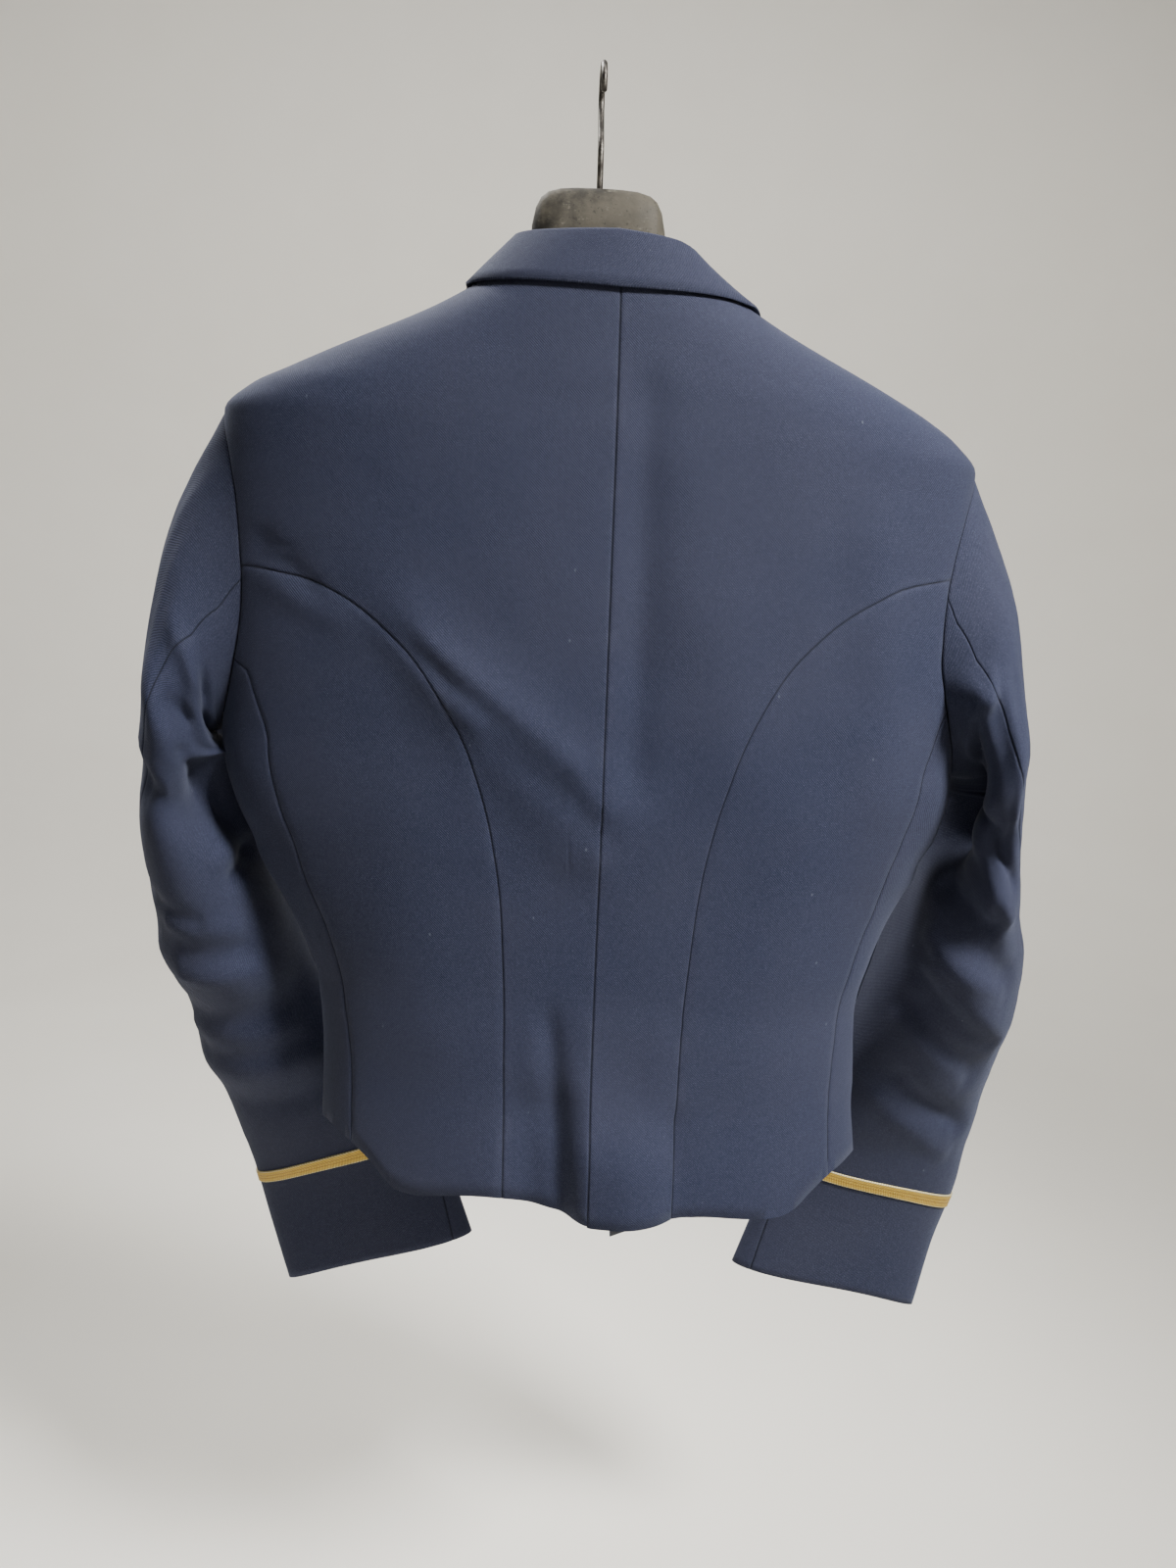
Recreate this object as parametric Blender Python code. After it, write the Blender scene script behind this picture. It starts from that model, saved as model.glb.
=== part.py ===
"""A wool mess jacket as it hangs, back to the viewer, on a broad contoured hanger.

Frame: +X is the wearer's left, +Y the jacket's back, +Z up. The origin is the inside crown of the
hanger's hook, where a rail bears. Tables and sizes are in millimetres; meshes are in metres.

The body is one outer surface, cut into panels along its seams. A level ring of it starts at centre
back (hoop 0), passes the side (hoop 1) and ends at centre front (hoop 2). Above the shoulder tips the
rings shrink towards the neck, so hoop 1 runs up the shoulder seam. Each sleeve is a tube from the
armhole to the cuff: turn 0 is its shoulder or outer edge, 0.25 faces back, 0.5 is the underarm side.
"""

import math

import bmesh
import bpy
import numpy as np

MM = 0.001
LEFT, RIGHT = 1, -1
SIDE_NAME = {LEFT: "left", RIGHT: "right"}

CLOTH = 2.0          # wall of the wool panels
SEAM_GAP = 0.3       # between the pieces that meet at a seam
CENTRE_X = -11.0     # the centre back seam hangs this far beside the hook
HANG_SLOPE = 0.045   # the jacket's right side hangs lower, as the shoulder line is tilted


class Table:
    """Rows of numbers under column names, read as monotone cubics over the first column."""

    def __init__(self, columns, rows):
        self.columns = columns
        self.rows = np.array(sorted(rows), float)
        self.slopes = {name: self.slope(k) for k, name in enumerate(columns)}

    def slope(self, k):
        at, value = self.rows[:, 0], self.rows[:, k]
        rise = np.diff(value) / np.diff(at)
        slope = np.zeros_like(value)
        slope[0], slope[-1] = rise[0], rise[-1]
        same = rise[:-1] * rise[1:] > 0
        pair = np.where(same, rise[:-1] + rise[1:], 1.0)
        slope[1:-1] = np.where(same, 2 * rise[:-1] * rise[1:] / pair, 0.0)
        return slope

    def __call__(self, name, at):
        at = np.asarray(at, float)
        start, value = self.rows[:, 0], self.rows[:, self.columns.index(name)]
        slope = self.slopes[name]
        k = np.clip(np.searchsorted(start, at) - 1, 0, len(start) - 2)
        width = start[k + 1] - start[k]
        t = (at - start[k]) / width
        return (
            value[k] * (1 + 2 * t) * (1 - t) ** 2
            + value[k + 1] * t * t * (3 - 2 * t)
            + width * (slope[k] * t * (1 - t) ** 2 - slope[k + 1] * t * t * (1 - t))
        )


# Level rings of the body: half widths, the Y of the side line, of centre back and of centre front,
# and the squareness of the rounded outline.
BODY = Table(
    ("z", "left", "right", "side", "back", "front", "square"),
    [
        (-770, 180, 194, -40, 48, -66, 2.3),
        (-663, 176, 188, -38, 45, -64, 2.3),
        (-600, 174, 182, -36, 42, -62, 2.3),
        (-550, 177, 180, -35, 42, -62, 2.35),
        (-510, 188, 188, -33, 44, -63, 2.4),
        (-470, 206, 201, -31, 47, -65, 2.4),
        (-430, 225, 216, -29, 50, -67, 2.45),
        (-390, 233, 225, -27, 53, -69, 2.5),
        (-345, 232, 225, -25, 56, -70, 2.5),
        (-300, 230, 226, -23, 58, -70, 2.5),
        (-250, 229, 225, -20, 59, -68, 2.5),
        (-202, 226, 223, -16, 58, -65, 2.5),
        (-187, 210, 209, -13, 57, -64, 2.5),
        (-176, 188, 192, -11, 56.5, -63, 2.45),
        (-163, 161, 165, -8, 55, -61, 2.4),
        (-137, 105, 105, -3, 52, -54, 2.3),
        (-121, 78, 73, 0, 49, -48, 2.2),
        (-110, 62, 49, 2, 46, -44, 2.2),
        (-90, 30, 25, 4, 42, -36, 2.2),
    ],
)
NECK_Z, NECK_BACK_Z = -110.0, -119.0     # neckline at the shoulder seam and at centre back
SHOULDER_Z = -202.0                      # shoulder tip

# The hem by hoop: it dips at centre back, rises at the side and drops to a point on each front.
HEM = Table(
    ("hoop", "left", "right"),
    [
        (0.00, -673, -674), (0.20, -665, -671), (0.45, -666, -671), (0.56, -665, -667),
        (0.68, -648, -653), (0.80, -645, -649), (1.00, -652, -656), (1.30, -662, -668),
        (1.50, -674, -684), (1.70, -695, -711), (1.85, -713, -736), (2.00, -735, -760),
    ],
)
# The front edge: from the neck point over the shoulder, down the roll line and on to the point.
FRONT_EDGE = Table(
    ("z", "left", "right"),
    [
        (-765, 1.990, 1.935), (-700, 1.975, 1.950), (-640, 1.965, 1.957), (-580, 1.955, 1.953),
        (-520, 1.944, 1.944), (-440, 1.936, 1.936), (-340, 1.923, 1.923), (-260, 1.907, 1.907),
        (-200, 1.885, 1.885), (-160, 1.812, 1.812), (-135, 1.672, 1.672), (-122, 1.515, 1.515),
        (-114, 1.290, 1.290), (-110, 1.000, 1.000),
    ],
)
# The curved seam between a back and its side body, from the armhole (s 0) to the hem (s 1).
CURVED_SEAM = Table(
    ("s", "x", "left", "right"),
    [
        (0.00, 204, -290, -266), (0.07, 170, -295, -274), (0.12, 149, -303, -285),
        (0.17, 128, -316, -301), (0.23, 107, -335, -323), (0.28, 93, -354, -345),
        (0.35, 79, -381, -375), (0.40, 72, -402, -399), (0.46, 66, -424, -425),
        (0.52, 61, -449, -455), (0.60, 57, -482, -500), (0.74, 54, -553, -560),
        (1.00, 53, -663, -670),
    ],
)
# The side seam, as a share of the ring's half width, on the back of the ring.
SIDE_SEAM = Table(
    ("z", "share"),
    [
        (-680, 0.855), (-600, 0.865), (-540, 0.885), (-480, 0.885), (-440, 0.862), (-392, 0.868),
        (-365, 0.895), (-340, 0.925),
    ],
)

# The armhole is an oval about the side line. How far it cuts into the back and the front, in hoop:
ARMHOLE_BASE_Z = -390.0
ARMHOLE_BACK = {LEFT: 0.285, RIGHT: 0.328}
ARMHOLE_FRONT = 0.42
# Where seams meet it, as turns from the shoulder tip, and the segments between those points.
ARMHOLE_SEAMS = {
    LEFT: dict(tip=0.0, curved=0.240, hind=0.262, side=0.337, base=0.5, fore=0.656, end=1.0),
    RIGHT: dict(tip=0.0, curved=0.198, hind=0.218, side=0.337, base=0.5, fore=0.656, end=1.0),
}
ARMHOLE_SEGMENTS = dict(curved=7, hind=1, side=3, base=5, fore=5, end=11)

# Sleeve rings below the armhole: t runs from 0 at the armhole to 1 at the cuff. Centre, half sizes,
# and where the hind and the fore seam run, as turns.
CAP_T = 0.28
SLEEVE_COLUMNS = ("t", "x", "y", "z", "half_x", "half_y", "hind", "fore")
SLEEVE = {
    LEFT: Table(
        SLEEVE_COLUMNS,
        [
            (0.28, 257, -32, -402, 21, 71, 0.150, 0.60),
            (0.34, 258, -36, -432, 26, 67, 0.115, 0.58),
            (0.42, 252, -43, -472, 34, 62, 0.080, 0.56),
            (0.50, 244.5, -53, -512, 40, 56, 0.055, 0.54),
            (0.58, 235.5, -67, -555, 44, 50, 0.035, 0.52),
            (0.66, 222.5, -82, -600, 48, 43, 0.020, 0.50),
            (0.75, 200, -96, -650, 58, 34, 0.010, 0.47),
            (0.84, 176.5, -104, -702, 66, 24, 0.000, 0.44),
            (0.92, 161, -108, -750, 70, 18, -0.005, 0.42),
            (1.00, 146, -110, -801, 72, 14, -0.010, 0.40),
        ],
    ),
    RIGHT: Table(
        SLEEVE_COLUMNS,
        [
            (0.28, 249, -32, -402, 19, 71, 0.175, 0.60),
            (0.34, 251, -36, -432, 24, 67, 0.155, 0.58),
            (0.42, 252, -43, -472, 34, 62, 0.115, 0.56),
            (0.50, 253.5, -53, -512, 45.5, 56, 0.075, 0.54),
            (0.58, 251, -67, -555, 52, 50, 0.045, 0.52),
            (0.66, 244, -82, -600, 56.5, 43, 0.025, 0.50),
            (0.75, 237, -96, -650, 61, 34, 0.010, 0.47),
            (0.84, 226, -104, -702, 68, 24, 0.000, 0.44),
            (0.92, 211, -108, -752, 71, 18, 0.000, 0.42),
            (1.00, 197, -110, -808, 75, 14, 0.000, 0.405),
        ],
    ),
}
BRAID_LOW_T, BRAID_HIGH_T = 0.868, 0.851  # the lace band, above the cuff's end
BRAID_LACE = 1.0

FOLD_COLUMNS = ("u0", "z0", "u1", "z1", "width", "height")
# Ridges (and troughs, below zero) in the body. u is the way round from centre back, left positive.
BODY_FOLDS = (
    (112, -312, -8, -408, 19, 4.5),
    (92, -352, 6, -440, 18, 3.5),
    (-24, -700, -20, -640, 32, 14.0),
    (33, -700, 34, -610, 18, -6.0),
    (-20, -240, -22, -330, 20, -2.0),
    (212, -420, 194, -520, 22, 4.0),
    (-216, -408, -204, -455, 20, 2.0),
    (352, -740, 346, -650, 34, 10.0),
    (300, -560, 318, -660, 26, 6.0),
    (-296, -540, -312, -650, 28, 6.0),
    (-262, -330, -300, -420, 24, 4.0),
)
# Ridges and troughs in the sleeves: turn and t at both ends, width as a share of the ring, height.
SLEEVE_FOLDS = {
    LEFT: (
        (0.20, 0.20, 0.42, 0.27, 0.045, 5.0),
        (0.19, 0.30, 0.36, 0.34, 0.050, -7.0),
        (0.10, 0.52, 0.34, 0.56, 0.045, 4.0),
        (0.08, 0.60, 0.40, 0.62, 0.045, -4.0),
        (0.06, 0.68, 0.42, 0.70, 0.045, 4.0),
        (0.62, 0.46, 0.90, 0.52, 0.050, -5.0),
        (0.66, 0.60, 0.92, 0.58, 0.050, 4.0),
    ),
    RIGHT: (
        (0.21, 0.20, 0.42, 0.25, 0.045, 6.0),
        (0.25, 0.30, 0.40, 0.36, 0.055, -9.0),
        (0.33, 0.40, 0.19, 0.48, 0.045, -6.0),
        (0.34, 0.47, 0.16, 0.57, 0.045, 4.0),
        (0.35, 0.55, 0.19, 0.63, 0.045, -5.0),
        (0.35, 0.66, 0.17, 0.72, 0.050, -3.0),
        (0.62, 0.46, 0.90, 0.52, 0.050, -5.0),
        (0.66, 0.62, 0.92, 0.60, 0.050, 4.0),
    ),
}

# The collar is turned over a fold. Along it, s runs from centre back (0) over the neck point (1) to the
# gorge (2): the stand's height and lean, how far it follows the front's edge, and where its fall ends.
COLLAR_COLUMNS = ("s", "stand", "lean", "flat", "hoop", "fall_z")
COLLAR = {
    LEFT: Table(
        COLLAR_COLUMNS,
        [
            (0.00, 22.0, 19, 0.0, 0.00, -126.8),
            (0.50, 19.5, 28, 0.0, 0.50, -126.3),
            (0.80, 17.0, 31, 0.0, 0.80, -126.0),
            (1.00, 16.0, 33, 0.0, 1.00, -124.7),
            (1.12, 14.5, 33, 0.1, 1.13, -127.0),
            (1.28, 11.5, 33, 0.3, 1.29, -134.0),
            (1.46, 8.0, 30, 0.5, 1.45, -145.0),
            (1.64, 5.5, 26, 0.7, 1.59, -161.0),
            (1.82, 4.0, 20, 0.9, 1.69, -179.0),
            (2.00, 2.6, 10, 1.0, 1.735, -193.0),
        ],
    ),
    RIGHT: Table(
        COLLAR_COLUMNS,
        [
            (0.00, 22.0, 19, 0.0, 0.00, -126.8),
            (0.50, 23.5, 28, 0.0, 0.50, -124.2),
            (0.80, 23.0, 38, 0.0, 0.80, -123.0),
            (1.00, 21.5, 45, 0.0, 1.00, -119.5),
            (1.12, 17.0, 43, 0.1, 1.13, -122.5),
            (1.28, 12.5, 38, 0.3, 1.29, -129.5),
            (1.46, 9.5, 32, 0.5, 1.45, -143.0),
            (1.64, 6.0, 26, 0.7, 1.59, -160.0),
            (1.82, 4.0, 20, 0.9, 1.69, -178.0),
            (2.00, 2.6, 10, 1.0, 1.74, -193.0),
        ],
    ),
}
NECK_AXIS_X, NECK_AXIS_Y = -2.0, 2.0
FOLD_RADIUS = 1.9
FALL_STEPS = 5
FALL_BOW, FALL_LIFT = 0.2, 1.3
# The lapel turns over the front's edge from the gorge to the waist: its reach from the edge.
LAPEL_END_Z = -560.0
LAPEL = Table(
    ("z", "reach", "drop"),
    [
        (-566, 7, 2), (-500, 27, 3), (-420, 49, 4), (-340, 66, 3), (-270, 79, 2), (-230, 86, 0),
        (-202, 88, -5),
    ],
)
LAPEL_STAND, LAPEL_BOW, LAPEL_EDGE_LIFT = 2.6, 1.6, 1.5

# The hanger: its neck block's top line, then the arms, which lie just under the shoulders.
BLOCK_TOP = Table(
    ("x", "z"),
    [
        (0, -63), (13, -63.6), (22, -65), (29, -67.8), (33, -71.5), (36, -77.5), (38, -87),
        (38.6, -96), (44, -109),
    ],
)
HANGER_UNDER = Table(("x", "z"), [(0, -150), (60, -156), (120, -182), (170, -211), (200, -226)])
HANGER_HALF_Y = Table(("x", "y"), [(0, 13), (25, 12.5), (33, 10.5), (38, 8), (46, 9), (90, 16), (150, 20), (200, 20)])
HANGER_SEAT = 1.0    # between the arms and the cloth
HANGER_CLOSES, HANGER_REACH = 168.0, 186.0
HANGER_SQUARE = 2.3

WIRE = 3.5
HOOK_RADIUS = 12.0   # inside, round a rail
HOOK_TIP_ANGLE = -14.0
HOOK_BACK_ANGLE = 205.0


def place(x, y, z):
    """The hanging jacket's own coordinates as world ones."""
    return np.stack([x + CENTRE_X, y, z + HANG_SLOPE * x], axis=-1)


def unit(vectors):
    return vectors / np.maximum(np.linalg.norm(vectors, axis=-1, keepdims=True), 1e-12)


def power(value, exponent):
    return np.sign(value) * np.abs(value) ** exponent


def relief(folds, u, v, stretch=1.0):
    """The height that soft ridges along segments give at (u, v)."""
    total = np.zeros(np.broadcast(u, v).shape)
    for u0, v0, u1, v1, width, height in folds:
        du, dv = u1 - u0, (v1 - v0) * stretch
        ru, rv = u - u0, (v - v0) * stretch
        t = np.clip((ru * du + rv * dv) / (du * du + dv * dv), 0, 1)
        away = (ru - t * du) ** 2 + (rv - t * dv) ** 2
        total = total + height * np.exp(-away / (width * width))
    return total


def ring_point(side, hoop, z):
    """(x, y) of the body's ring, without folds, and the ring's half width there."""
    half = BODY(SIDE_NAME[side], z)
    line = BODY("side", z)
    exponent = 2 / BODY("square", z)
    turn = hoop * math.pi / 2
    across, along = power(np.sin(turn), exponent), power(np.cos(turn), exponent)
    depth = np.where(along > 0, BODY("back", z) - line, line - BODY("front", z))
    return half * across, line + depth * along, half


def body(side, hoop, z):
    """A point of the body's outer face."""
    hoop, z = np.broadcast_arrays(np.asarray(hoop, float), np.asarray(z, float))
    x, y, half = ring_point(side, hoop, z)
    way_round = np.where(hoop > 1, 2 * half - x, x)
    height = relief(BODY_FOLDS, side * way_round, z)
    turn = hoop * math.pi / 2
    return place(side * (x + height * np.sin(turn)), y + height * np.cos(turn), z)


def body_normal(side, hoop, z):
    around = body(side, hoop + 0.004, z) - body(side, hoop - 0.004, z)
    up = body(side, hoop, z + 1.0) - body(side, hoop, z - 1.0)
    return unit(side * np.cross(up, around))


def hoop_at(side, x, z, front=False):
    """The hoop of the ring at height z whose distance from the centre line is x."""
    half = BODY(SIDE_NAME[side], z)
    share = np.clip(np.asarray(x, float) / half, 0, 1)
    hoop = np.arcsin(share ** (BODY("square", z) / 2)) * 2 / math.pi
    return 2 - hoop if front else hoop


def ring_lengths(side, z, start, steps=160):
    """Hoops from start to the other centre line, and the ring's length up to each."""
    hoops = start + np.linspace(0, 2, steps + 1) * (1 if start == 0 else -1)
    z = np.asarray(z, float)[..., None]
    x, y, _ = ring_point(side, hoops, z)
    pieces = np.hypot(np.diff(x, axis=-1), np.diff(y, axis=-1))
    lengths = np.concatenate([np.zeros(z.shape), np.cumsum(pieces, axis=-1)], axis=-1)
    return hoops, lengths


def reach_of(side, hoop, z, start):
    """The length along the level ring from the start hoop, 0 or 2, to this hoop."""
    hoop, z = np.broadcast_arrays(np.asarray(hoop, float), np.asarray(z, float))
    hoops, lengths = ring_lengths(side, z, start)
    share = np.abs(hoops - start)
    flat = [np.interp(abs(h - start), share, row) for h, row in zip(hoop.ravel(), lengths.reshape(-1, len(share)))]
    return np.array(flat).reshape(hoop.shape)


def hoop_of(side, reach, z, start):
    """The hoop at this length along the level ring from the start hoop."""
    hoops, lengths = ring_lengths(side, z, start)
    flat = [np.interp(r, row, np.abs(hoops - start)) for r, row in zip(reach.ravel(), lengths.reshape(-1, len(hoops)))]
    away = np.array(flat).reshape(reach.shape)
    return start + away if start == 0 else start - away


def armhole(side, turn):
    """(hoop, z) of the armhole's edge at a turn from the shoulder tip."""
    angle = 2 * math.pi * np.asarray(turn, float)
    middle, half = (SHOULDER_Z + ARMHOLE_BASE_Z) / 2, (SHOULDER_Z - ARMHOLE_BASE_Z) / 2
    cut = np.where(np.sin(angle) > 0, ARMHOLE_BACK[side], ARMHOLE_FRONT)
    return 1 - cut * np.sin(angle), middle + half * np.cos(angle)


def armhole_turns(side, first, last):
    """The shared turns of the armhole's points from one named seam to another."""
    names = list(ARMHOLE_SEAMS[side])
    turns = [ARMHOLE_SEAMS[side][first]]
    for name in names[names.index(first) + 1 : names.index(last) + 1]:
        count = ARMHOLE_SEGMENTS[name]
        start, stop = turns[-1], ARMHOLE_SEAMS[side][name]
        turns += [start + (stop - start) * (k + 1) / count for k in range(count)]
    return np.array(turns)


def sleeve_ring(side, turn, t):
    """A point of the sleeve's outer face below the cap, without folds, and its ring's axes."""
    table = SLEEVE[side]
    centre = place(side * table("x", t), table("y", t), table("z", t))
    ahead = place(side * table("x", t + 0.04), table("y", t + 0.04), table("z", t + 0.04))
    behind = place(side * table("x", t - 0.04), table("y", t - 0.04), table("z", t - 0.04))
    axis = unit(ahead - behind)
    back = unit(np.cross(np.broadcast_to([side, 0.0, 0.0], axis.shape), axis) * side)
    out = unit(np.cross(axis, back) * side)
    angle = 2 * math.pi * turn
    half_x, half_y = table("half_x", t)[..., None], table("half_y", t)[..., None]
    cos, sin = np.cos(angle)[..., None], np.sin(angle)[..., None]
    return centre + out * half_x * cos + back * half_y * sin, unit(out * cos + back * sin), axis


def sleeve(side, turn, t):
    """A point of the sleeve's outer face."""
    turn, t = np.broadcast_arrays(np.asarray(turn, float), np.asarray(t, float))
    low, outward, axis = sleeve_ring(side, turn, np.maximum(t, CAP_T))
    hoop, z = armhole(side, turn)
    edge = body(side, hoop, z)
    gap = np.linalg.norm(low - edge, axis=-1, keepdims=True)
    angle = 2 * math.pi * turn
    beyond = armhole(side, turn + 0.002)
    before = armhole(side, turn - 0.002)
    tangent = unit(body(side, *beyond) - body(side, *before))
    normal = body_normal(side, hoop, z)
    onward = side * np.cross(tangent, normal)
    lift = np.radians(39 + 43 * np.cos(angle) - 16 * np.cos(2 * angle))[..., None]
    start = normal * np.cos(lift) + onward * np.sin(lift)
    s = np.clip(t / CAP_T, 0, 1)[..., None]
    cap = (
        edge * (1 + 2 * s) * (1 - s) ** 2
        + low * s * s * (3 - 2 * s)
        + gap * (start * s * (1 - s) ** 2 - axis * s * s * (1 - s))
    )
    height = relief(SLEEVE_FOLDS[side], np.mod(turn, 1.0), t, stretch=1.6)
    return cap + outward * (height * np.clip(t / (0.5 * CAP_T), 0, 1) * np.clip((0.86 - t) / 0.06, 0, 1))[..., None]


def sleeve_normal(side, turn, t):
    turn, t = np.broadcast_arrays(np.asarray(turn, float), np.asarray(t, float))
    along = sleeve(side, turn, np.minimum(t + 0.004, 1)) - sleeve(side, turn, np.maximum(t - 0.004, 0))
    around = sleeve(side, turn + 0.004, t) - sleeve(side, turn - 0.004, t)
    return unit(side * np.cross(along, around))


def armhole_edge(side, turns):
    """Points and shared normals of the armhole's edge, which body and sleeve both use."""
    hoop, z = armhole(side, turns)
    return body(side, hoop, z), unit(body_normal(side, hoop, z) + sleeve_normal(side, turns, 0.012))


def coons(bottom, top, left, right):
    """A grid between four edges of plane points, rows from bottom to top, columns from left to right."""
    u = np.linspace(0, 1, len(bottom))[None, :, None]
    v = np.linspace(0, 1, len(left))[:, None, None]
    ruled = (1 - v) * bottom[None] + v * top[None] + (1 - u) * left[:, None] + u * right[:, None]
    corners = (1 - u) * ((1 - v) * bottom[0] + v * top[0]) + u * ((1 - v) * bottom[-1] + v * top[-1])
    return ruled - corners


def body_patch(side, start, bottom, top, left, right):
    """(points, normals) of a body panel from its four edges, each a list of (hoop, z)."""
    edges = [np.array(edge, float) for edge in (bottom, top, left, right)]
    flat = [np.stack([reach_of(side, e[:, 0], e[:, 1], start), e[:, 1]], axis=1) for e in edges]
    grid = coons(*flat)
    z = grid[..., 1]
    hoop = hoop_of(side, grid[..., 0], z, start)
    for rows, edge in (((0, slice(None)), 0), ((-1, slice(None)), 1), ((slice(None), 0), 2), ((slice(None), -1), 3)):
        hoop[rows], z[rows] = edges[edge][:, 0], edges[edge][:, 1]
    return body(side, hoop, z), body_normal(side, hoop, z)


def wall(name, patches, material, thickness=CLOTH):
    """One closed wall of cloth from grids of (points, normals) that share edges. Its border is drawn in by
    half the seam gap, and its thickness lies inside the outer face."""
    points, normals, index, faces = [], [], {}, []

    def corner(point, normal):
        key = tuple(np.round(point, 3))
        if key not in index:
            index[key] = len(points)
            points.append(point)
            normals.append(normal)
        return index[key]

    for grid, normal in patches:
        rows, columns = grid.shape[:2]
        ids = [[corner(grid[i, j], normal[i, j]) for j in range(columns)] for i in range(rows)]
        middle_i, middle_j = rows // 2 - 1, columns // 2 - 1
        across = grid[middle_i, middle_j + 1] - grid[middle_i, middle_j]
        along = grid[middle_i + 1, middle_j] - grid[middle_i, middle_j]
        flip = np.dot(np.cross(across, along), normal[middle_i, middle_j]) < 0
        for i in range(rows - 1):
            for j in range(columns - 1):
                face = [ids[i][j], ids[i][j + 1], ids[i + 1][j + 1], ids[i + 1][j]]
                faces.append(face[::-1] if flip else face)
    points, normals = np.array(points), np.array(normals)
    used = {(f[k], f[(k + 1) % 4]) for f in faces for k in range(4)}
    border = [(a, b) for a, b in used if (b, a) not in used]
    after, before = dict(border), {b: a for a, b in border}
    moved = points.copy()
    for here in after:
        inward = [
            unit(np.cross(normals[here], unit(points[b] - points[a])))
            for a, b in ((before[here], here), (here, after[here]))
        ]
        moved[here] += SEAM_GAP / 2 * (inward[0] + inward[1]) / (1 + np.dot(*inward))
    count = len(points)
    skin = np.concatenate([moved, moved - thickness * normals])
    inner = [[k + count for k in face[::-1]] for face in faces]
    rim = [[b, a, a + count, b + count] for a, b in border]
    return add_mesh(name, skin, faces + inner + rim, material)


def add_mesh(name, points, faces, material, crease=50):
    """An object from points in millimetres."""
    mesh = bpy.data.meshes.new(name)
    shape = bmesh.new()
    corners = [shape.verts.new(tuple(point * MM)) for point in np.asarray(points, float)]
    for face in faces:
        shape.faces.new([corners[k] for k in face])
    bmesh.ops.triangulate(shape, faces=shape.faces[:], quad_method="SHORT_EDGE")
    shape.to_mesh(mesh)
    shape.free()
    mesh.shade_smooth()
    mesh.set_sharp_from_angle(angle=math.radians(crease))
    mesh.materials.append(material)
    made = bpy.data.objects.new(name, mesh)
    bpy.context.scene.collection.objects.link(made)
    return made


LOWER_ROWS = 11
FRONT_WAIST_Z = -405.0
GORGE_ROW = -7       # of the front's rows, counted from the neck point
NECK_COLUMNS, SHOULDER_COLUMNS = 6, 7
SIDE_SPLIT = 2


def curved_seam(side):
    """(hoop, z) from the hem up to the armhole."""
    path = []
    for s in np.linspace(1, 0, LOWER_ROWS + 1):
        z = float(CURVED_SEAM(SIDE_NAME[side], s))
        path.append((float(hoop_at(side, CURVED_SEAM("x", s), z)), z))
    hoop, _ = path[0]
    path[0] = (hoop, float(HEM(SIDE_NAME[side], hoop)))
    path[-1] = tuple(float(v) for v in armhole(side, ARMHOLE_SEAMS[side]["curved"]))
    return path


def side_seam(side):
    """(hoop, z) from the hem up to the armhole."""
    top_hoop, top_z = (float(v) for v in armhole(side, ARMHOLE_SEAMS[side]["side"]))
    foot = float(HEM(SIDE_NAME[side], 0.8))
    path = []
    for k in range(LOWER_ROWS + 1):
        z = foot + (top_z - foot) * k / LOWER_ROWS
        share = float(SIDE_SEAM("share", z))
        path.append((float(hoop_at(side, share * BODY(SIDE_NAME[side], z), z)), z))
    path[-1] = (top_hoop, top_z)
    return path


def underarm_line(side):
    """(hoop, z) down the side line, from the hem to the armhole's base."""
    foot = float(HEM(SIDE_NAME[side], 1.0))
    return [(1.0, foot + (ARMHOLE_BASE_Z - foot) * k / LOWER_ROWS) for k in range(LOWER_ROWS + 1)]


def shoulder_seam(side):
    """(hoop, z) from the neck point to the shoulder tip, evenly spaced along the shoulder."""
    heights = np.linspace(NECK_Z, SHOULDER_Z, 90)
    halves = BODY(SIDE_NAME[side], heights)
    lengths = np.concatenate([[0], np.cumsum(np.hypot(np.diff(halves), np.diff(heights)))])
    wanted = lengths[-1] * np.linspace(0, 1, SHOULDER_COLUMNS + 1) ** 0.85
    return [(1.0, float(z)) for z in np.interp(wanted, lengths, heights)]


def back_neckline(side, count):
    """(hoop, z) from centre back to the neck point."""
    hoops = np.linspace(0, 1, count + 1)
    return [(float(h), float(NECK_BACK_Z + (NECK_Z - NECK_BACK_Z) * h**2.4)) for h in hoops]


def hem_line(side, hoops):
    return [(float(h), float(HEM(SIDE_NAME[side], h))) for h in hoops]


def front_point(side):
    """(hoop, z) where the front's edge meets the hem."""
    hoop = 1.93
    for _ in range(8):
        z = float(HEM(SIDE_NAME[side], hoop))
        hoop = float(FRONT_EDGE(SIDE_NAME[side], z))
    return hoop, z


def back_edges(side):
    seam = curved_seam(side)
    turns = armhole_turns(side, "tip", "curved")[::-1]
    hole = [(float(h), float(z)) for h, z in zip(*armhole(side, turns))]
    right = seam + hole[1:]
    top = back_neckline(side, NECK_COLUMNS) + shoulder_seam(side)[1:]
    drops = [1.15 * (SHOULDER_Z - z) for _, z in hole]
    low, high = float(HEM(SIDE_NAME[side], 0.0)), NECK_BACK_Z - drops[0]
    left = [(0.0, low + (high - low) * k / LOWER_ROWS) for k in range(LOWER_ROWS + 1)]
    left += [(0.0, NECK_BACK_Z - drop) for drop in drops[1:]]
    bottom = hem_line(side, np.linspace(0, seam[0][0], len(top)))
    return bottom, top, left, right


def with_armhole(patch, side, rows, turns):
    """The patch with its armhole edge's normals shared with the sleeve."""
    points, normals = patch
    edge_points, edge_normals = armhole_edge(side, turns)
    points[rows], normals[rows] = edge_points, edge_normals
    return points, normals


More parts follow.
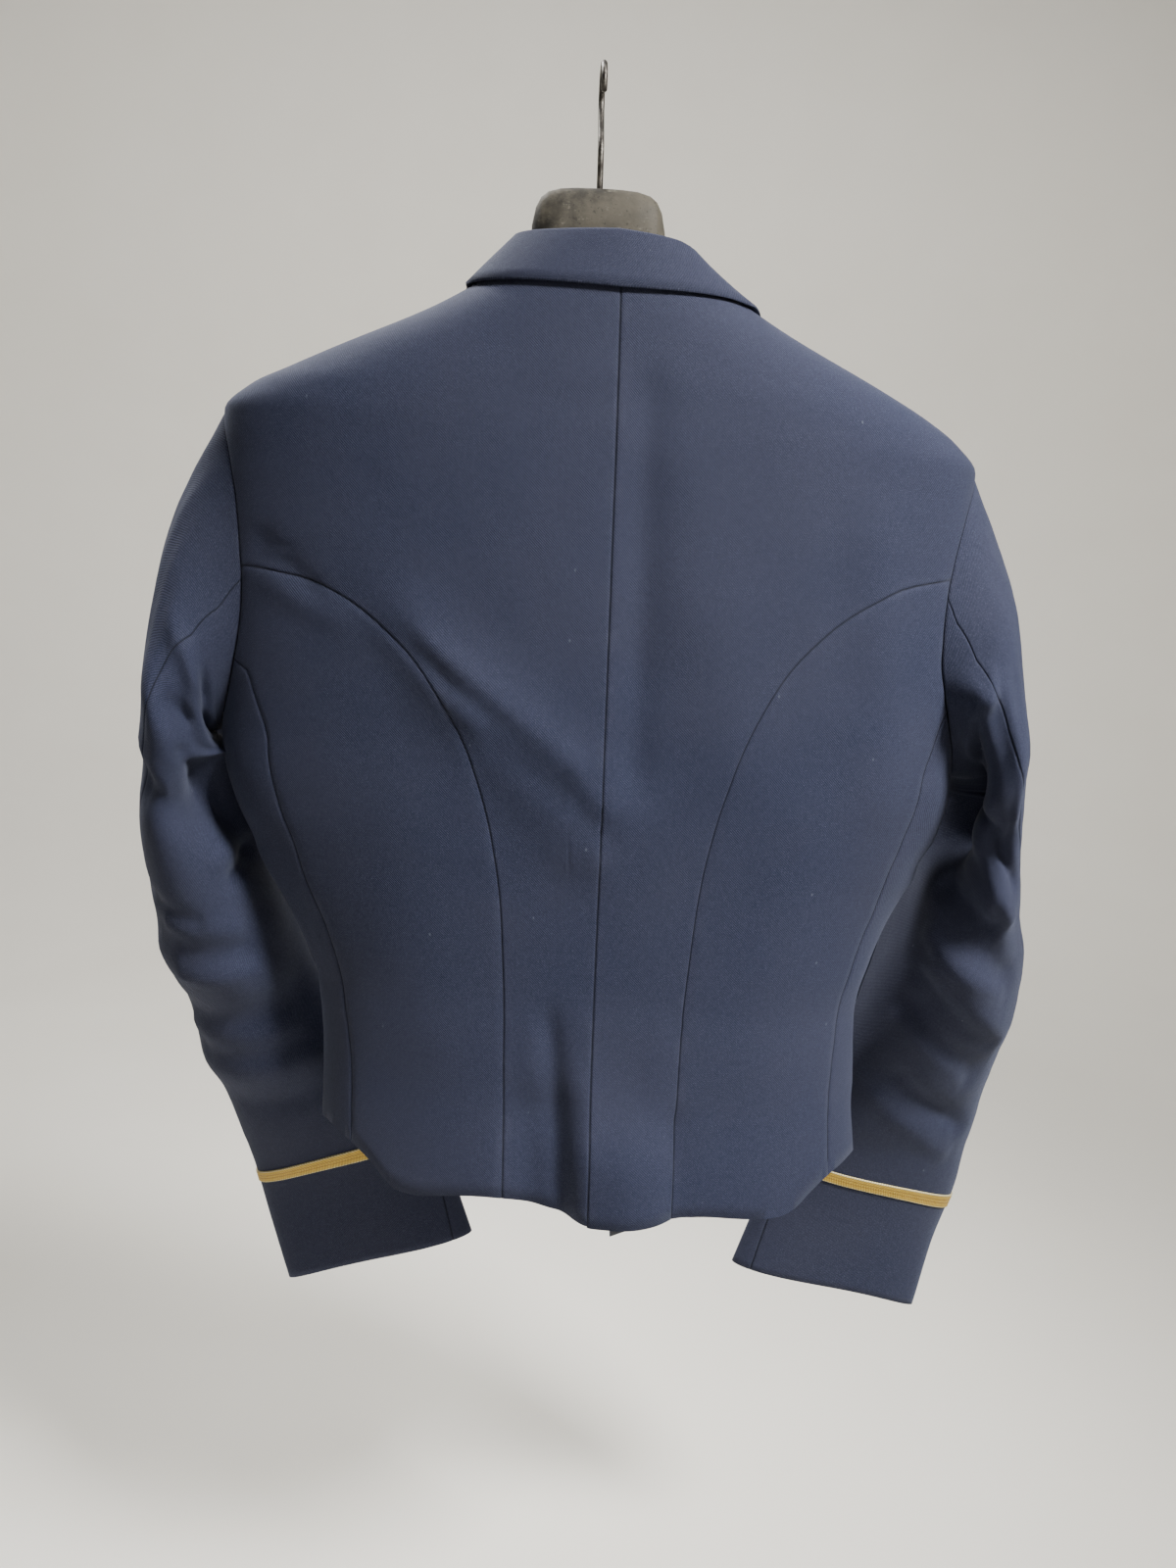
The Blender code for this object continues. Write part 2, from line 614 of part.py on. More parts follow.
def build_back(side, wool):
    patch = body_patch(side, 0, *back_edges(side))
    turns = armhole_turns(side, "tip", "curved")[::-1]
    patch = with_armhole(patch, side, (slice(LOWER_ROWS, None), -1), turns)
    return wall(f"back_{SIDE_NAME[side]}", [patch], wool)


def build_side_body(side, wool):
    left, right = curved_seam(side), side_seam(side)
    turns = armhole_turns(side, "curved", "side")
    columns = (len(turns) - 1) * SIDE_SPLIT
    place_on = np.linspace(0, len(turns) - 1, columns + 1)
    fine = np.interp(place_on, np.arange(len(turns)), turns)
    top = [(float(h), float(z)) for h, z in zip(*armhole(side, fine))]
    bottom = hem_line(side, np.linspace(left[0][0], right[0][0], columns + 1))
    points, normals = body_patch(side, 0, bottom, top, left, right)
    knots, knot_normals = armhole_edge(side, turns)
    for j, at in enumerate(place_on):
        k = min(int(at), len(turns) - 2)
        share = at - k
        points[-1, j] = (1 - share) * knots[k] + share * knots[k + 1]
        normals[-1, j] = unit((1 - share) * knot_normals[k] + share * knot_normals[k + 1])
    return wall(f"side_body_{SIDE_NAME[side]}", [(points, normals)], wool)


def front_edge(side):
    """(hoop, z) up the front's edge, one for each of the panel's rows."""
    hoop, foot = front_point(side)
    rise = np.cos(2 * math.pi * armhole_turns(side, "base", "end")) * 0.5 + 0.5
    heights = [foot + (FRONT_WAIST_Z - foot) * k / LOWER_ROWS for k in range(LOWER_ROWS)]
    heights += [FRONT_WAIST_Z + (NECK_Z - FRONT_WAIST_Z) * share for share in rise]
    path = [(float(FRONT_EDGE(SIDE_NAME[side], z)), float(z)) for z in heights]
    path[0] = (hoop, foot)
    return path


def build_front(side, wool):
    underarm = underarm_line(side)
    turns = armhole_turns(side, "base", "end")
    hole = [(float(h), float(z)) for h, z in zip(*armhole(side, turns))]
    edge = front_edge(side)
    bottom = hem_line(side, np.linspace(edge[0][0], 1.0, SHOULDER_COLUMNS + 1))
    main = body_patch(side, 2, bottom, shoulder_seam(side), edge, underarm + hole[1:])
    main = with_armhole(main, side, (slice(LOWER_ROWS, None), -1), turns)
    seam = side_seam(side)
    wing_turns = armhole_turns(side, "side", "base")[::-1]
    top = [(float(h), float(z)) for h, z in zip(*armhole(side, wing_turns))]
    bottom = hem_line(side, np.linspace(1.0, seam[0][0], len(top)))
    wing = body_patch(side, 2, bottom, top, underarm, seam)
    wing = with_armhole(wing, side, (-1, slice(None)), wing_turns)
    return wall(f"front_{SIDE_NAME[side]}", [main, wing], wool)


SLEEVE_ROWS_CAP, SLEEVE_ROWS_ARM, SLEEVE_ROWS_CUFF = 6, 11, 2


def sleeve_rows():
    """The shared values of t, with rows at both edges of the lace."""
    cap = np.linspace(0, CAP_T, SLEEVE_ROWS_CAP + 1)[:-1]
    arm = np.linspace(CAP_T, BRAID_HIGH_T, SLEEVE_ROWS_ARM + 1)
    cuff = np.linspace(BRAID_LOW_T, 1, SLEEVE_ROWS_CUFF + 1)
    return np.concatenate([cap, arm, cuff])


def sleeve_turns(side, piece, t):
    """The turns of a sleeve piece's columns at t: rows by columns, between its two seams."""
    seams = ARMHOLE_SEAMS[side]
    if piece == "under":
        start = armhole_turns(side, "hind", "fore")
    else:
        first = armhole_turns(side, "fore", "end")
        start = np.concatenate([first, 1 + armhole_turns(side, "tip", "hind")[1:]])
    share = (start - start[0]) / (start[-1] - start[0])
    blend = np.clip(t / CAP_T, 0, 1)
    low = np.maximum(t, CAP_T)
    hind = seams["hind"] + (SLEEVE[side]("hind", low) - seams["hind"]) * blend
    fore = seams["fore"] + (SLEEVE[side]("fore", low) - seams["fore"]) * blend
    first, last = (hind, fore) if piece == "under" else (fore, 1 + hind)
    return first[:, None] + (last - first)[:, None] * share[None, :]


def build_sleeve_piece(side, piece, wool):
    t = sleeve_rows()
    turns = sleeve_turns(side, piece, t)
    t = np.broadcast_to(t[:, None], turns.shape)
    points, normals = sleeve(side, turns, t), sleeve_normal(side, turns, t)
    points[0], normals[0] = armhole_edge(side, turns[0])
    return wall(f"{piece}_sleeve_{SIDE_NAME[side]}", [(points, normals)], wool)


def build_braid(side, lace):
    """A closed band of lace round the sleeve, made from the sleeve's own points, moved out."""
    t = np.array([BRAID_HIGH_T, BRAID_LOW_T])
    turns = np.concatenate([sleeve_turns(side, "under", t)[:, :-1], sleeve_turns(side, "top", t)[:, :-1]], axis=1)
    t = np.broadcast_to(t[:, None], turns.shape)
    skin, normals = sleeve(side, turns, t), sleeve_normal(side, turns, t)
    loops = [skin + SEAM_GAP * normals, skin + (SEAM_GAP + BRAID_LACE) * normals]
    rings = [loops[1][0], loops[1][1], loops[0][1], loops[0][0]]
    count = turns.shape[1]
    faces = []
    for k in range(4):
        for j in range(count):
            a, b = k * count + j, k * count + (j + 1) % count
            c, d = ((k + 1) % 4) * count + (j + 1) % count, ((k + 1) % 4) * count + j
            faces.append([d, c, b, a] if side > 0 else [a, b, c, d])
    return add_mesh(f"braid_{SIDE_NAME[side]}", np.concatenate(rings), faces, lace)


def turned_over(name, stations, material):
    """A strip of cloth sewn to an edge and turned over outside it. Each station holds the edge's point and
    the directions away from the panel and out of it, the stand's height, and points along the fall."""
    rows = []
    for edge, away, out, stand, fall in stations:
        line = [edge + away * stand * k for k in (0.0, 0.5, 1.0)]
        centre = line[-1] + out * FOLD_RADIUS
        for angle in (45, 90, 135):
            turn = math.radians(angle)
            line.append(centre + FOLD_RADIUS * (away * math.sin(turn) - out * math.cos(turn)))
        start = centre + out * FOLD_RADIUS
        rows.append(line + [start, *fall])
    grid = np.array(rows)
    along = np.gradient(grid, axis=0)
    across = np.gradient(grid, axis=1)
    normals = unit(np.cross(across, along))
    middle = len(stations) // 2
    if np.dot(normals[middle, -2], stations[middle][2]) < 0:
        normals = -normals
    return wall(name, [(grid + normals * CLOTH / 2, normals)], material)


def edge_frame(side, path):
    """Points in the middle of a panel's edge, the outward normals, and the directions away from the panel
    within its surface. The path is a list of (hoop, z) with the panel on its outer side."""
    hoop, z = np.array(path, float).T
    points, normals = body(side, hoop, z), body_normal(side, hoop, z)
    tangents = unit(np.gradient(points, axis=0))
    away = unit(np.cross(tangents, normals))
    return points - normals * CLOTH / 2, normals, away


def collar_stations(side):
    """Stations from centre back to the gorge on one side, at the panels' own points."""
    neck = back_neckline(side, NECK_COLUMNS)
    front = front_edge(side)[GORGE_ROW:][::-1][1:]
    path = neck + front
    places = list(np.linspace(0, 1, len(neck)))
    fall = [NECK_Z - z for _, z in front]
    places += [1 + (drop / fall[-1]) ** 0.6 for drop in fall]
    points, normals, away = edge_frame(side, path)
    out = []
    for k, s in enumerate(places):
        reach = points[k][:2] - np.array([NECK_AXIS_X, NECK_AXIS_Y])
        inward = -unit(np.array([reach[0], reach[1], 0.0]))
        if np.dot(away[k], inward + np.array([0.0, 0.0, 1.0])) < 0:
            away[k] = -away[k]
        lean = math.radians(float(COLLAR[side]("lean", s)))
        free = np.array([0.0, 0.0, math.cos(lean)]) + inward * math.sin(lean)
        share = float(COLLAR[side]("flat", s))
        rise = unit((1 - share) * free + share * away[k])
        outward = unit(normals[k] - np.dot(normals[k], rise) * rise)
        hoop, fall_z = float(COLLAR[side]("hoop", s)), float(COLLAR[side]("fall_z", s))
        end = body(side, hoop, fall_z) + body_normal(side, hoop, fall_z) * (CLOTH / 2 + FALL_LIFT)
        slack = np.linalg.norm(np.cross(rise, away[k])) * CLOTH / 2
        start = points[k] + away[k] * slack
        stand = float(COLLAR[side]("stand", s))
        top = start + rise * stand + outward * 2 * FOLD_RADIUS
        shares = np.linspace(0, 1, FALL_STEPS + 1)[1:, None]
        fall = top + (end - top) * shares + outward * FALL_BOW * np.sin(math.pi * shares)
        out.append((start, rise, outward, stand, fall))
    return out


def build_collar(wool):
    left, right = collar_stations(LEFT), collar_stations(RIGHT)
    return turned_over("collar", left[::-1] + right[1:], wool)


def build_lapel(side, wool):
    rows = front_edge(side)
    gorge = rows[GORGE_ROW][1] - 0.9
    path = [(float(FRONT_EDGE(SIDE_NAME[side], gorge)), gorge)]
    path += [row for row in rows[:GORGE_ROW][::-1] if row[1] > LAPEL_END_Z]
    points, normals, away = edge_frame(side, path)
    stations = []
    for k, (hoop, z) in enumerate(path):
        if away[k][0] * side > 0:
            away[k] = -away[k]
        shares = np.linspace(0, 1, FALL_STEPS + 1)
        heights = z - float(LAPEL("drop", z)) * shares
        reach = float(reach_of(side, hoop, z, 2)) + (float(LAPEL("reach", z)) + LAPEL_STAND) * shares
        reach -= LAPEL_STAND
        hoops = hoop_of(side, reach, heights, 2)
        lift = CLOTH / 2 + LAPEL_EDGE_LIFT + (2 * FOLD_RADIUS - CLOTH - LAPEL_EDGE_LIFT) * (1 - shares) ** 3
        lift += LAPEL_BOW * np.sin(math.pi * np.sqrt(shares)) * min(1.0, float(LAPEL("reach", z)) / 60)
        skin = body(side, hoops, heights) + body_normal(side, hoops, heights) * lift[:, None]
        stations.append((points[k], away[k], normals[k], LAPEL_STAND, skin[1:]))
    return turned_over(f"lapel_{SIDE_NAME[side]}", stations, wool)


def hanger_stations():
    """(x, y, top z, under z, half y) from the left tip to the right tip."""
    places = [0, 13, 22, 29, 33, 36, 38, 38.6, 44, 60, 85, 110, 135, 152, 168, 178, 184, 186]
    rows = []
    for side in (LEFT, RIGHT):
        heights = np.linspace(NECK_Z, SHOULDER_Z, 80)
        hoops = np.ones_like(heights)
        seat = body(side, hoops, heights) - body_normal(side, hoops, heights) * (CLOTH + HANGER_SEAT)
        order = np.argsort(side * seat[:, 0])
        ridge = seat[order]
        own = []
        for x in places:
            world_x = side * x
            if x <= 44:
                y, top = 0.0, float(BLOCK_TOP("z", x))
            else:
                y = float(np.interp(x, side * ridge[:, 0], ridge[:, 1]))
                top = float(np.interp(x, side * ridge[:, 0], ridge[:, 2]))
            under = float(HANGER_UNDER("z", x)) + HANG_SLOPE * world_x
            half_y = float(HANGER_HALF_Y("y", x))
            closing = math.sqrt(1 - max(0.0, (x - HANGER_CLOSES) / (HANGER_REACH + 1 - HANGER_CLOSES)) ** 2)
            middle, half_z = (top + under) / 2, (top - under) / 2
            if closing < 1:
                middle = top - half_z * closing
                half_z, half_y = half_z * closing, half_y * (0.35 + 0.65 * closing)
            own.append((world_x, y, middle, half_y, half_z))
        rows.append(own)
    return rows[0][::-1] + rows[1][1:]


def build_hanger(plastic):
    count = 16
    rings = []
    for x, y, z, half_y, half_z in hanger_stations():
        angles = 2 * math.pi * np.arange(count) / count
        across = power(np.cos(angles), 2 / HANGER_SQUARE)
        up = power(np.sin(angles), 2 / HANGER_SQUARE)
        rings.append(np.stack([np.full(count, float(x)), y + half_y * across, z + half_z * up], axis=1))
    faces = [list(range(count))]
    for k in range(len(rings) - 1):
        for j in range(count):
            a, b = k * count + j, k * count + (j + 1) % count
            faces.append([b, a, a + count, b + count])
    faces.append([(len(rings) - 1) * count + j for j in reversed(range(count))])
    return add_mesh("hanger", np.concatenate(rings), faces, plastic)


def build_hook(steel):
    """A bent wire: a stem on the neck block, a bow behind the rail and a crown over it."""
    middle = HOOK_RADIUS + WIRE / 2
    crown_z = WIRE / 2
    centre_z = crown_z - middle
    arc = [
        (middle * math.cos(math.radians(a)), centre_z + middle * math.sin(math.radians(a)))
        for a in np.linspace(HOOK_TIP_ANGLE, HOOK_BACK_ANGLE, 22)
    ]
    stem_top, stem_foot = -44.0, -63.0 + SEAM_GAP
    lean = [(-8.4, -27.0), (-4.2, -33.5), (-1.2, -39.0), (0.0, stem_top), (0.0, -54.0), (0.0, stem_foot)]
    path = np.array(arc + lean)
    ways = unit(np.gradient(path, axis=0))
    side_ways = np.stack([-ways[:, 1], ways[:, 0]], axis=1)
    radii = np.full(len(path), WIRE / 2)
    path = np.concatenate([path[:1] - ways[:1] * k for k in (1.5, 0.9)] + [path])
    side_ways = np.concatenate([side_ways[:1], side_ways[:1], side_ways])
    radii = np.concatenate([[WIRE * 0.22, WIRE * 0.42], radii])
    count = 10
    angles = 2 * math.pi * np.arange(count) / count
    rings = []
    for (y, z), (ny, nz), radius in zip(path, side_ways, radii):
        across, over = radius * np.cos(angles), radius * np.sin(angles)
        rings.append(np.stack([-over, y + ny * across, z + nz * across], axis=1))
    faces = [list(range(count))]
    for k in range(len(rings) - 1):
        for j in range(count):
            a, b = k * count + j, k * count + (j + 1) % count
            faces.append([b, a, a + count, b + count])
    faces.append([(len(rings) - 1) * count + j for j in reversed(range(count))])
    return add_mesh("hook", np.concatenate(rings), faces, steel)


def material(name, colour, roughness, metallic=0.0):
    made = bpy.data.materials.new(name)
    made.use_nodes = True
    shader = made.node_tree.nodes["Principled BSDF"]
    shader.inputs["Base Color"].default_value = (*colour, 1.0)
    shader.inputs["Roughness"].default_value = roughness
    shader.inputs["Metallic"].default_value = metallic
    return made


def clear_scene():
    for obj in list(bpy.data.objects):
        bpy.data.objects.remove(obj, do_unlink=True)


def main():
    clear_scene()
    wool = material("wool", (0.036, 0.043, 0.075), 0.85)
    lace = material("gold_lace", (0.55, 0.36, 0.10), 0.45, 0.6)
    plastic = material("worn_plastic", (0.03, 0.028, 0.026), 0.55)
    steel = material("steel_wire", (0.25, 0.25, 0.25), 0.35, 1.0)
    for side in (LEFT, RIGHT):
        build_back(side, wool)
        build_side_body(side, wool)
        build_front(side, wool)
        build_lapel(side, wool)
        build_sleeve_piece(side, "top", wool)
        build_sleeve_piece(side, "under", wool)
        build_braid(side, lace)
    build_collar(wool)
    build_hanger(plastic)
    build_hook(steel)


main()
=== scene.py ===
"""The wool mess jacket as it hangs, back to the camera: cloth, seams, creases, lace, hanger and studio.

The forms come from the same tables and functions as the CAD solids, sampled more finely, so each piece
of cloth lies where its solid is. Sizes are in millimetres until a mesh is made.

A place on the body is (hoop, z): hoop runs round a level ring from centre back (0) over the side line (1)
to centre front (2). A place on a sleeve is (turn, t): turn runs round it from the shoulder line by way of
the back, and t from the armhole's edge (0) to the cuff (1). A path is an array of such places, a row each.
"""

import math

import bpy
import numpy as np
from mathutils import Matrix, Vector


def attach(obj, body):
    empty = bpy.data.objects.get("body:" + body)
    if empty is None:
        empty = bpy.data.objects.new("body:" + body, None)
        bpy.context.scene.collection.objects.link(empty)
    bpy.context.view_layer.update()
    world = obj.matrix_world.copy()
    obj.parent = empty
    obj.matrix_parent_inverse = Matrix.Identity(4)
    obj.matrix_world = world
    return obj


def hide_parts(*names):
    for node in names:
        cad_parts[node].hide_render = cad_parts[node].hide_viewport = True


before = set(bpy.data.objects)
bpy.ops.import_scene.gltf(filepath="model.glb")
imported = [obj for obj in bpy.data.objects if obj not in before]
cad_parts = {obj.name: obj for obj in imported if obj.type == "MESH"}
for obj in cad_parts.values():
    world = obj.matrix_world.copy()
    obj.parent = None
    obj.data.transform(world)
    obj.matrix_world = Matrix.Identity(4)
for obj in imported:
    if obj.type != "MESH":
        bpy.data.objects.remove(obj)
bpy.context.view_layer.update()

MM, TURN = 0.001, 2 * math.pi
DENSE = 5      # the solids' rows and columns, times this
LEFT, RIGHT = 1, -1
SIDE_NAME = {LEFT: "left", RIGHT: "right"}

CLOTH = 2.0          # wall of the wool panels
CENTRE_X = -11.0     # the centre back seam hangs this far beside the hook
HANG_SLOPE = 0.045   # the jacket's right side hangs lower, as the shoulder line is tilted


def hermite(s, start, end, leaving, arriving):
    """The cubic from start to end over s 0 to 1, with these slopes at its two ends."""
    return (start * (1 + 2 * s) * (1 - s) ** 2 + end * s * s * (3 - 2 * s)
            + leaving * s * (1 - s) ** 2 - arriving * s * s * (1 - s))


class Table:
    """Rows of numbers under column names, read as monotone cubics over the first column. LEFT and RIGHT
    stand for the columns left and right."""

    def __init__(self, columns, rows):
        self.columns = columns
        self.rows = np.array(sorted(rows), float)
        self.slopes = {name: self.slope(k) for k, name in enumerate(columns)}

    def slope(self, k):
        at, value = self.rows[:, 0], self.rows[:, k]
        rise = np.diff(value) / np.diff(at)
        same = rise[:-1] * rise[1:] > 0
        pair = np.where(same, rise[:-1] + rise[1:], 1.0)
        inner = np.where(same, 2 * rise[:-1] * rise[1:] / pair, 0.0)
        return np.concatenate([rise[:1], inner, rise[-1:]])

    def __call__(self, name, at):
        at, name = np.asarray(at, float), SIDE_NAME.get(name, name)
        start, value, slope = self.rows[:, 0], self.rows[:, self.columns.index(name)], self.slopes[name]
        k = np.clip(np.searchsorted(start, at) - 1, 0, len(start) - 2)
        width = start[k + 1] - start[k]
        share = (at - start[k]) / width
        return hermite(share, value[k], value[k + 1], width * slope[k], width * slope[k + 1])


# Level rings of the body: half widths, the Y of the side line, of centre back and of centre front,
# and the squareness of the rounded outline.
BODY = Table(("z", "left", "right", "side", "back", "front", "square"), [
    (-770, 180, 194, -40, 48, -66, 2.3), (-663, 176, 188, -38, 45, -64, 2.3),
    (-600, 174, 182, -36, 42, -62, 2.3), (-550, 177, 180, -35, 42, -62, 2.35),
    (-510, 188, 188, -33, 44, -63, 2.4), (-470, 206, 201, -31, 47, -65, 2.4),
    (-430, 225, 216, -29, 50, -67, 2.45), (-390, 233, 225, -27, 53, -69, 2.5),
    (-345, 232, 225, -25, 56, -70, 2.5), (-300, 230, 226, -23, 58, -70, 2.5),
    (-250, 229, 225, -20, 59, -68, 2.5), (-202, 226, 223, -16, 58, -65, 2.5),
    (-187, 210, 209, -13, 57, -64, 2.5), (-176, 188, 192, -11, 56.5, -63, 2.45),
    (-163, 161, 165, -8, 55, -61, 2.4), (-137, 105, 105, -3, 52, -54, 2.3),
    (-121, 78, 73, 0, 49, -48, 2.2), (-110, 62, 49, 2, 46, -44, 2.2), (-90, 30, 25, 4, 42, -36, 2.2),
])
NECK_Z, NECK_BACK_Z = -110.0, -119.0     # neckline at the shoulder seam and at centre back
NECK_DIP = 2.4                           # how late the neckline rises from centre back
SHOULDER_Z = -202.0                      # shoulder tip

# The hem by hoop: it dips at centre back, rises at the side and drops to a point on each front.
HEM = Table(("hoop", "left", "right"), [
    (0, -673, -674), (0.2, -665, -671), (0.32, -668.5, -674), (0.39, -671, -675.5), (0.44, -670, -675),
    (0.49, -664, -671), (0.54, -656, -663.5), (0.61, -650, -656), (0.68, -646, -652), (0.8, -643, -649),
    (1, -652, -656), (1.3, -662, -668), (1.5, -674, -684), (1.7, -695, -711), (1.85, -713, -736),
    (2, -735, -760),
])
# The front edge's hoop: from the neck point over the shoulder, down the roll line and on to the point.
FRONT_EDGE = Table(("z", "left", "right"), [
    (-765, 1.99, 1.935), (-700, 1.975, 1.95), (-640, 1.965, 1.957), (-580, 1.955, 1.953),
    (-520, 1.944, 1.944), (-440, 1.936, 1.936), (-340, 1.923, 1.923), (-260, 1.907, 1.907),
    (-200, 1.885, 1.885), (-160, 1.812, 1.812), (-135, 1.672, 1.672), (-122, 1.515, 1.515),
    (-114, 1.29, 1.29), (-110, 1, 1),
])
FRONT_POINT_HOOP = 1.93     # near the point where it meets the hem
# The curved seam between a back and its side body, from the armhole (s 0) to the hem (s 1): its distance
# from the centre line, and its height on each side.
CURVED_SEAM = Table(("s", "x", "left", "right"), [
    (0, 204, -290, -266), (0.07, 170, -295, -274), (0.12, 149, -303, -285), (0.17, 128, -316, -301),
    (0.23, 107, -335, -323), (0.28, 93, -354, -345), (0.35, 79, -381, -375), (0.4, 72, -402, -399),
    (0.46, 66, -424, -425), (0.52, 61, -449, -455), (0.6, 57, -482, -500), (0.74, 54, -553, -560),
    (1, 53, -663, -670),
])
# The side seam's distance from the centre line at each height, as a share of the ring's half width.
SIDE_SEAM = Table(("z", "left", "right"), [
    (-680, 0.855, 0.855), (-600, 0.862, 0.865), (-540, 0.875, 0.885), (-480, 0.866, 0.885),
    (-440, 0.84, 0.862), (-392, 0.842, 0.868), (-365, 0.876, 0.895), (-340, 0.916, 0.925),
])
SIDE_SEAM_FOOT = 0.8     # the hoop where it is taken to meet the hem

# The armhole is an oval about the side line. How far it cuts into the back and the front, in hoop:
ARMHOLE_BASE_Z = -390.0
ARMHOLE_BACK = {LEFT: 0.285, RIGHT: 0.328}
ARMHOLE_FRONT = 0.42
# Where seams meet it, as turns from the shoulder tip, and the segments between those points.
ARMHOLE_SEAMS = {
    LEFT: dict(tip=0.0, curved=0.240, hind=0.262, side=0.337, base=0.5, fore=0.656, end=1.0),
    RIGHT: dict(tip=0.0, curved=0.198, hind=0.218, side=0.337, base=0.5, fore=0.656, end=1.0),
}
ARMHOLE_SEGMENTS = dict(curved=7, hind=1, side=3, base=5, fore=5, end=11)

# Sleeve rings below the cap: centre, half sizes, and where the hind and the fore seam run, as turns.
CAP_T = 0.28
SLEEVE_COLUMNS = ("t", "x", "y", "z", "half_x", "half_y", "hind", "fore")
SLEEVE = {
    LEFT: Table(SLEEVE_COLUMNS, [
        (0.28, 257, -32, -402, 21, 71, 0.15, 0.6), (0.34, 258, -36, -432, 26, 67, 0.115, 0.58),
        (0.42, 252, -43, -472, 34, 62, 0.08, 0.56), (0.5, 244.5, -53, -512, 40, 56, 0.055, 0.54),
        (0.58, 235.5, -67, -555, 44, 50, 0.035, 0.52), (0.66, 222.5, -82, -600, 48, 43, 0.02, 0.5),
        (0.75, 200, -96, -650, 58, 34, 0.01, 0.47), (0.84, 176.5, -104, -702, 66, 24, 0, 0.44),
        (0.92, 161, -108, -750, 70, 18, -0.005, 0.42), (1, 146, -110, -801, 72, 14, -0.01, 0.4),
    ]),
    RIGHT: Table(SLEEVE_COLUMNS, [
        (0.28, 249, -32, -402, 19, 71, 0.175, 0.6), (0.34, 251, -36, -432, 24, 67, 0.155, 0.58),
        (0.42, 252, -43, -472, 34, 62, 0.115, 0.56), (0.5, 253.5, -53, -512, 45.5, 56, 0.075, 0.54),
        (0.58, 251, -67, -555, 52, 50, 0.045, 0.52), (0.66, 244, -82, -600, 56.5, 43, 0.025, 0.5),
        (0.75, 237, -96, -650, 61, 34, 0.01, 0.47), (0.84, 226, -104, -702, 68, 24, 0, 0.44),
        (0.92, 211, -108, -752, 71, 18, 0, 0.42), (1, 197, -110, -808, 75, 14, 0, 0.405),
    ]),
}
# Where the hind seam runs on each sleeve's cap and upper arm: t and turn.
HIND_SEAM = {
    LEFT: ((0, 0.254), (0.037, 0.280), (0.095, 0.282), (0.158, 0.246), (0.20, 0.222), (0.25, 0.180),
           (0.30, 0.145), (0.34, 0.122), (0.42, 0.080)),
    RIGHT: ((0, 0.218), (0.015, 0.240), (0.055, 0.266), (0.10, 0.270), (0.16, 0.262), (0.20, 0.250),
            (0.25, 0.215), (0.30, 0.170), (0.34, 0.148), (0.42, 0.115)),
}
# The angle in degrees at which the cap leaves the body: its mean, and how it changes once and twice round.
CAP_LIFT = (39, 43, -16)
# At the back of the cuff the cloth's t is moved up by this much, about a turn, from one t on to another.
CUFF_RISE, CUFF_RISE_TURN, CUFF_RISE_WIDTH, CUFF_RISE_T = 0.0085, 0.21, 0.13, (0.76, 0.85)
BRAID_HIGH_T, BRAID_LOW_T = 0.851, 0.868     # the lace band, above the cuff's end
# The lace: its width, the length of one pick and its height, the least thickness, the thickness at its
# edges, and how far its two faces stand off the cloth. Then its cords' places, width and height, and its
# ribs' span, number, height and roundness.
LACE_WIDE, LACE_PICK, PICK_HEIGHT, LACE_THIN, LACE_EDGE = 10.0, 1.25, 0.05, 0.72, 0.55
LACE_LIFT, LACE_UNDER = 0.18, 0.12
CORD_PLACES, CORD_WIDTH, CORD_HEIGHT = (0.06, 0.94), 0.05, 0.30
RIB_SPAN, RIBS, RIB_HEIGHT, RIB_ROUND = (0.14, 0.86), 3, 0.22, 0.6

# Ridges, and troughs below zero, in the body: both ends as (u, z), then width and height. u is the way
# round from centre back, left positive. The folds are the solids' own, the creases are the looks'.
BODY_FOLDS = (
    (112, -312, -8, -408, 19, 4.5), (92, -352, 6, -440, 18, 3.5), (-24, -700, -20, -640, 32, 14),
    (33, -700, 34, -610, 18, -6), (-20, -240, -22, -330, 20, -2), (212, -420, 194, -520, 22, 4),
    (-216, -408, -204, -455, 20, 2), (352, -740, 346, -650, 34, 10), (300, -560, 318, -660, 26, 6),
    (-296, -540, -312, -650, 28, 6), (-262, -330, -300, -420, 24, 4),
)
BODY_CREASES = (
    (100, -322, 16, -388, 6, 2.6), (92, -342, 14, -404, 5, -1.6), (78, -358, -4, -414, 6, 1.8),
    (66, -376, -6, -428, 5, -1.2), (118, -330, 70, -372, 5, 1.2), (196, -276, 168, -300, 7, -2.6),
    (188, -300, 150, -318, 8, 1.6), (98, -449, 0, -441, 3, 0.8), (50, -551, -57, -548, 3, 0.8),
    (-17, -180, -18, -400, 11, -2.2), (-60, -300, -74, -380, 26, 1.8), (26, -552, 13, -690, 8, -4.2),
    (3, -690, 3, -590, 10, 2.4), (-54, -610, -56, -690, 9, -3.2), (-40, -560, -44, -600, 12, 1),
    (120, -430, 96, -560, 30, 2), (-120, -420, -98, -560, 30, 2), (-150, -250, -168, -400, 20, 2.2),
    (-132, -240, -140, -330, 14, -1.2), (60, -180, 120, -250, 30, -1.4),
    (-214, -335, -210, -425, 12, 3.5), (205, -470, 190, -600, 10, 2.6),
    (-205, -460, -190, -600, 10, 2.6), (330, -320, 300, -440, 12, 2.2), (316, -330, 286, -440, 8, -1.6),
    (-322, -330, -300, -450, 12, 2.2), (-308, -335, -286, -450, 8, -1.6),
    (250, -430, 330, -470, 12, -2.6), (262, -455, 340, -500, 11, 2.4), (380, -420, 330, -520, 11, 1.8),
    (372, -520, 350, -640, 13, -2), (-256, -425, -334, -480, 12, -2.6),
    (-266, -452, -346, -505, 11, 2.4), (-384, -400, -330, -500, 11, 1.8),
    (-376, -530, -352, -650, 13, -2),
)
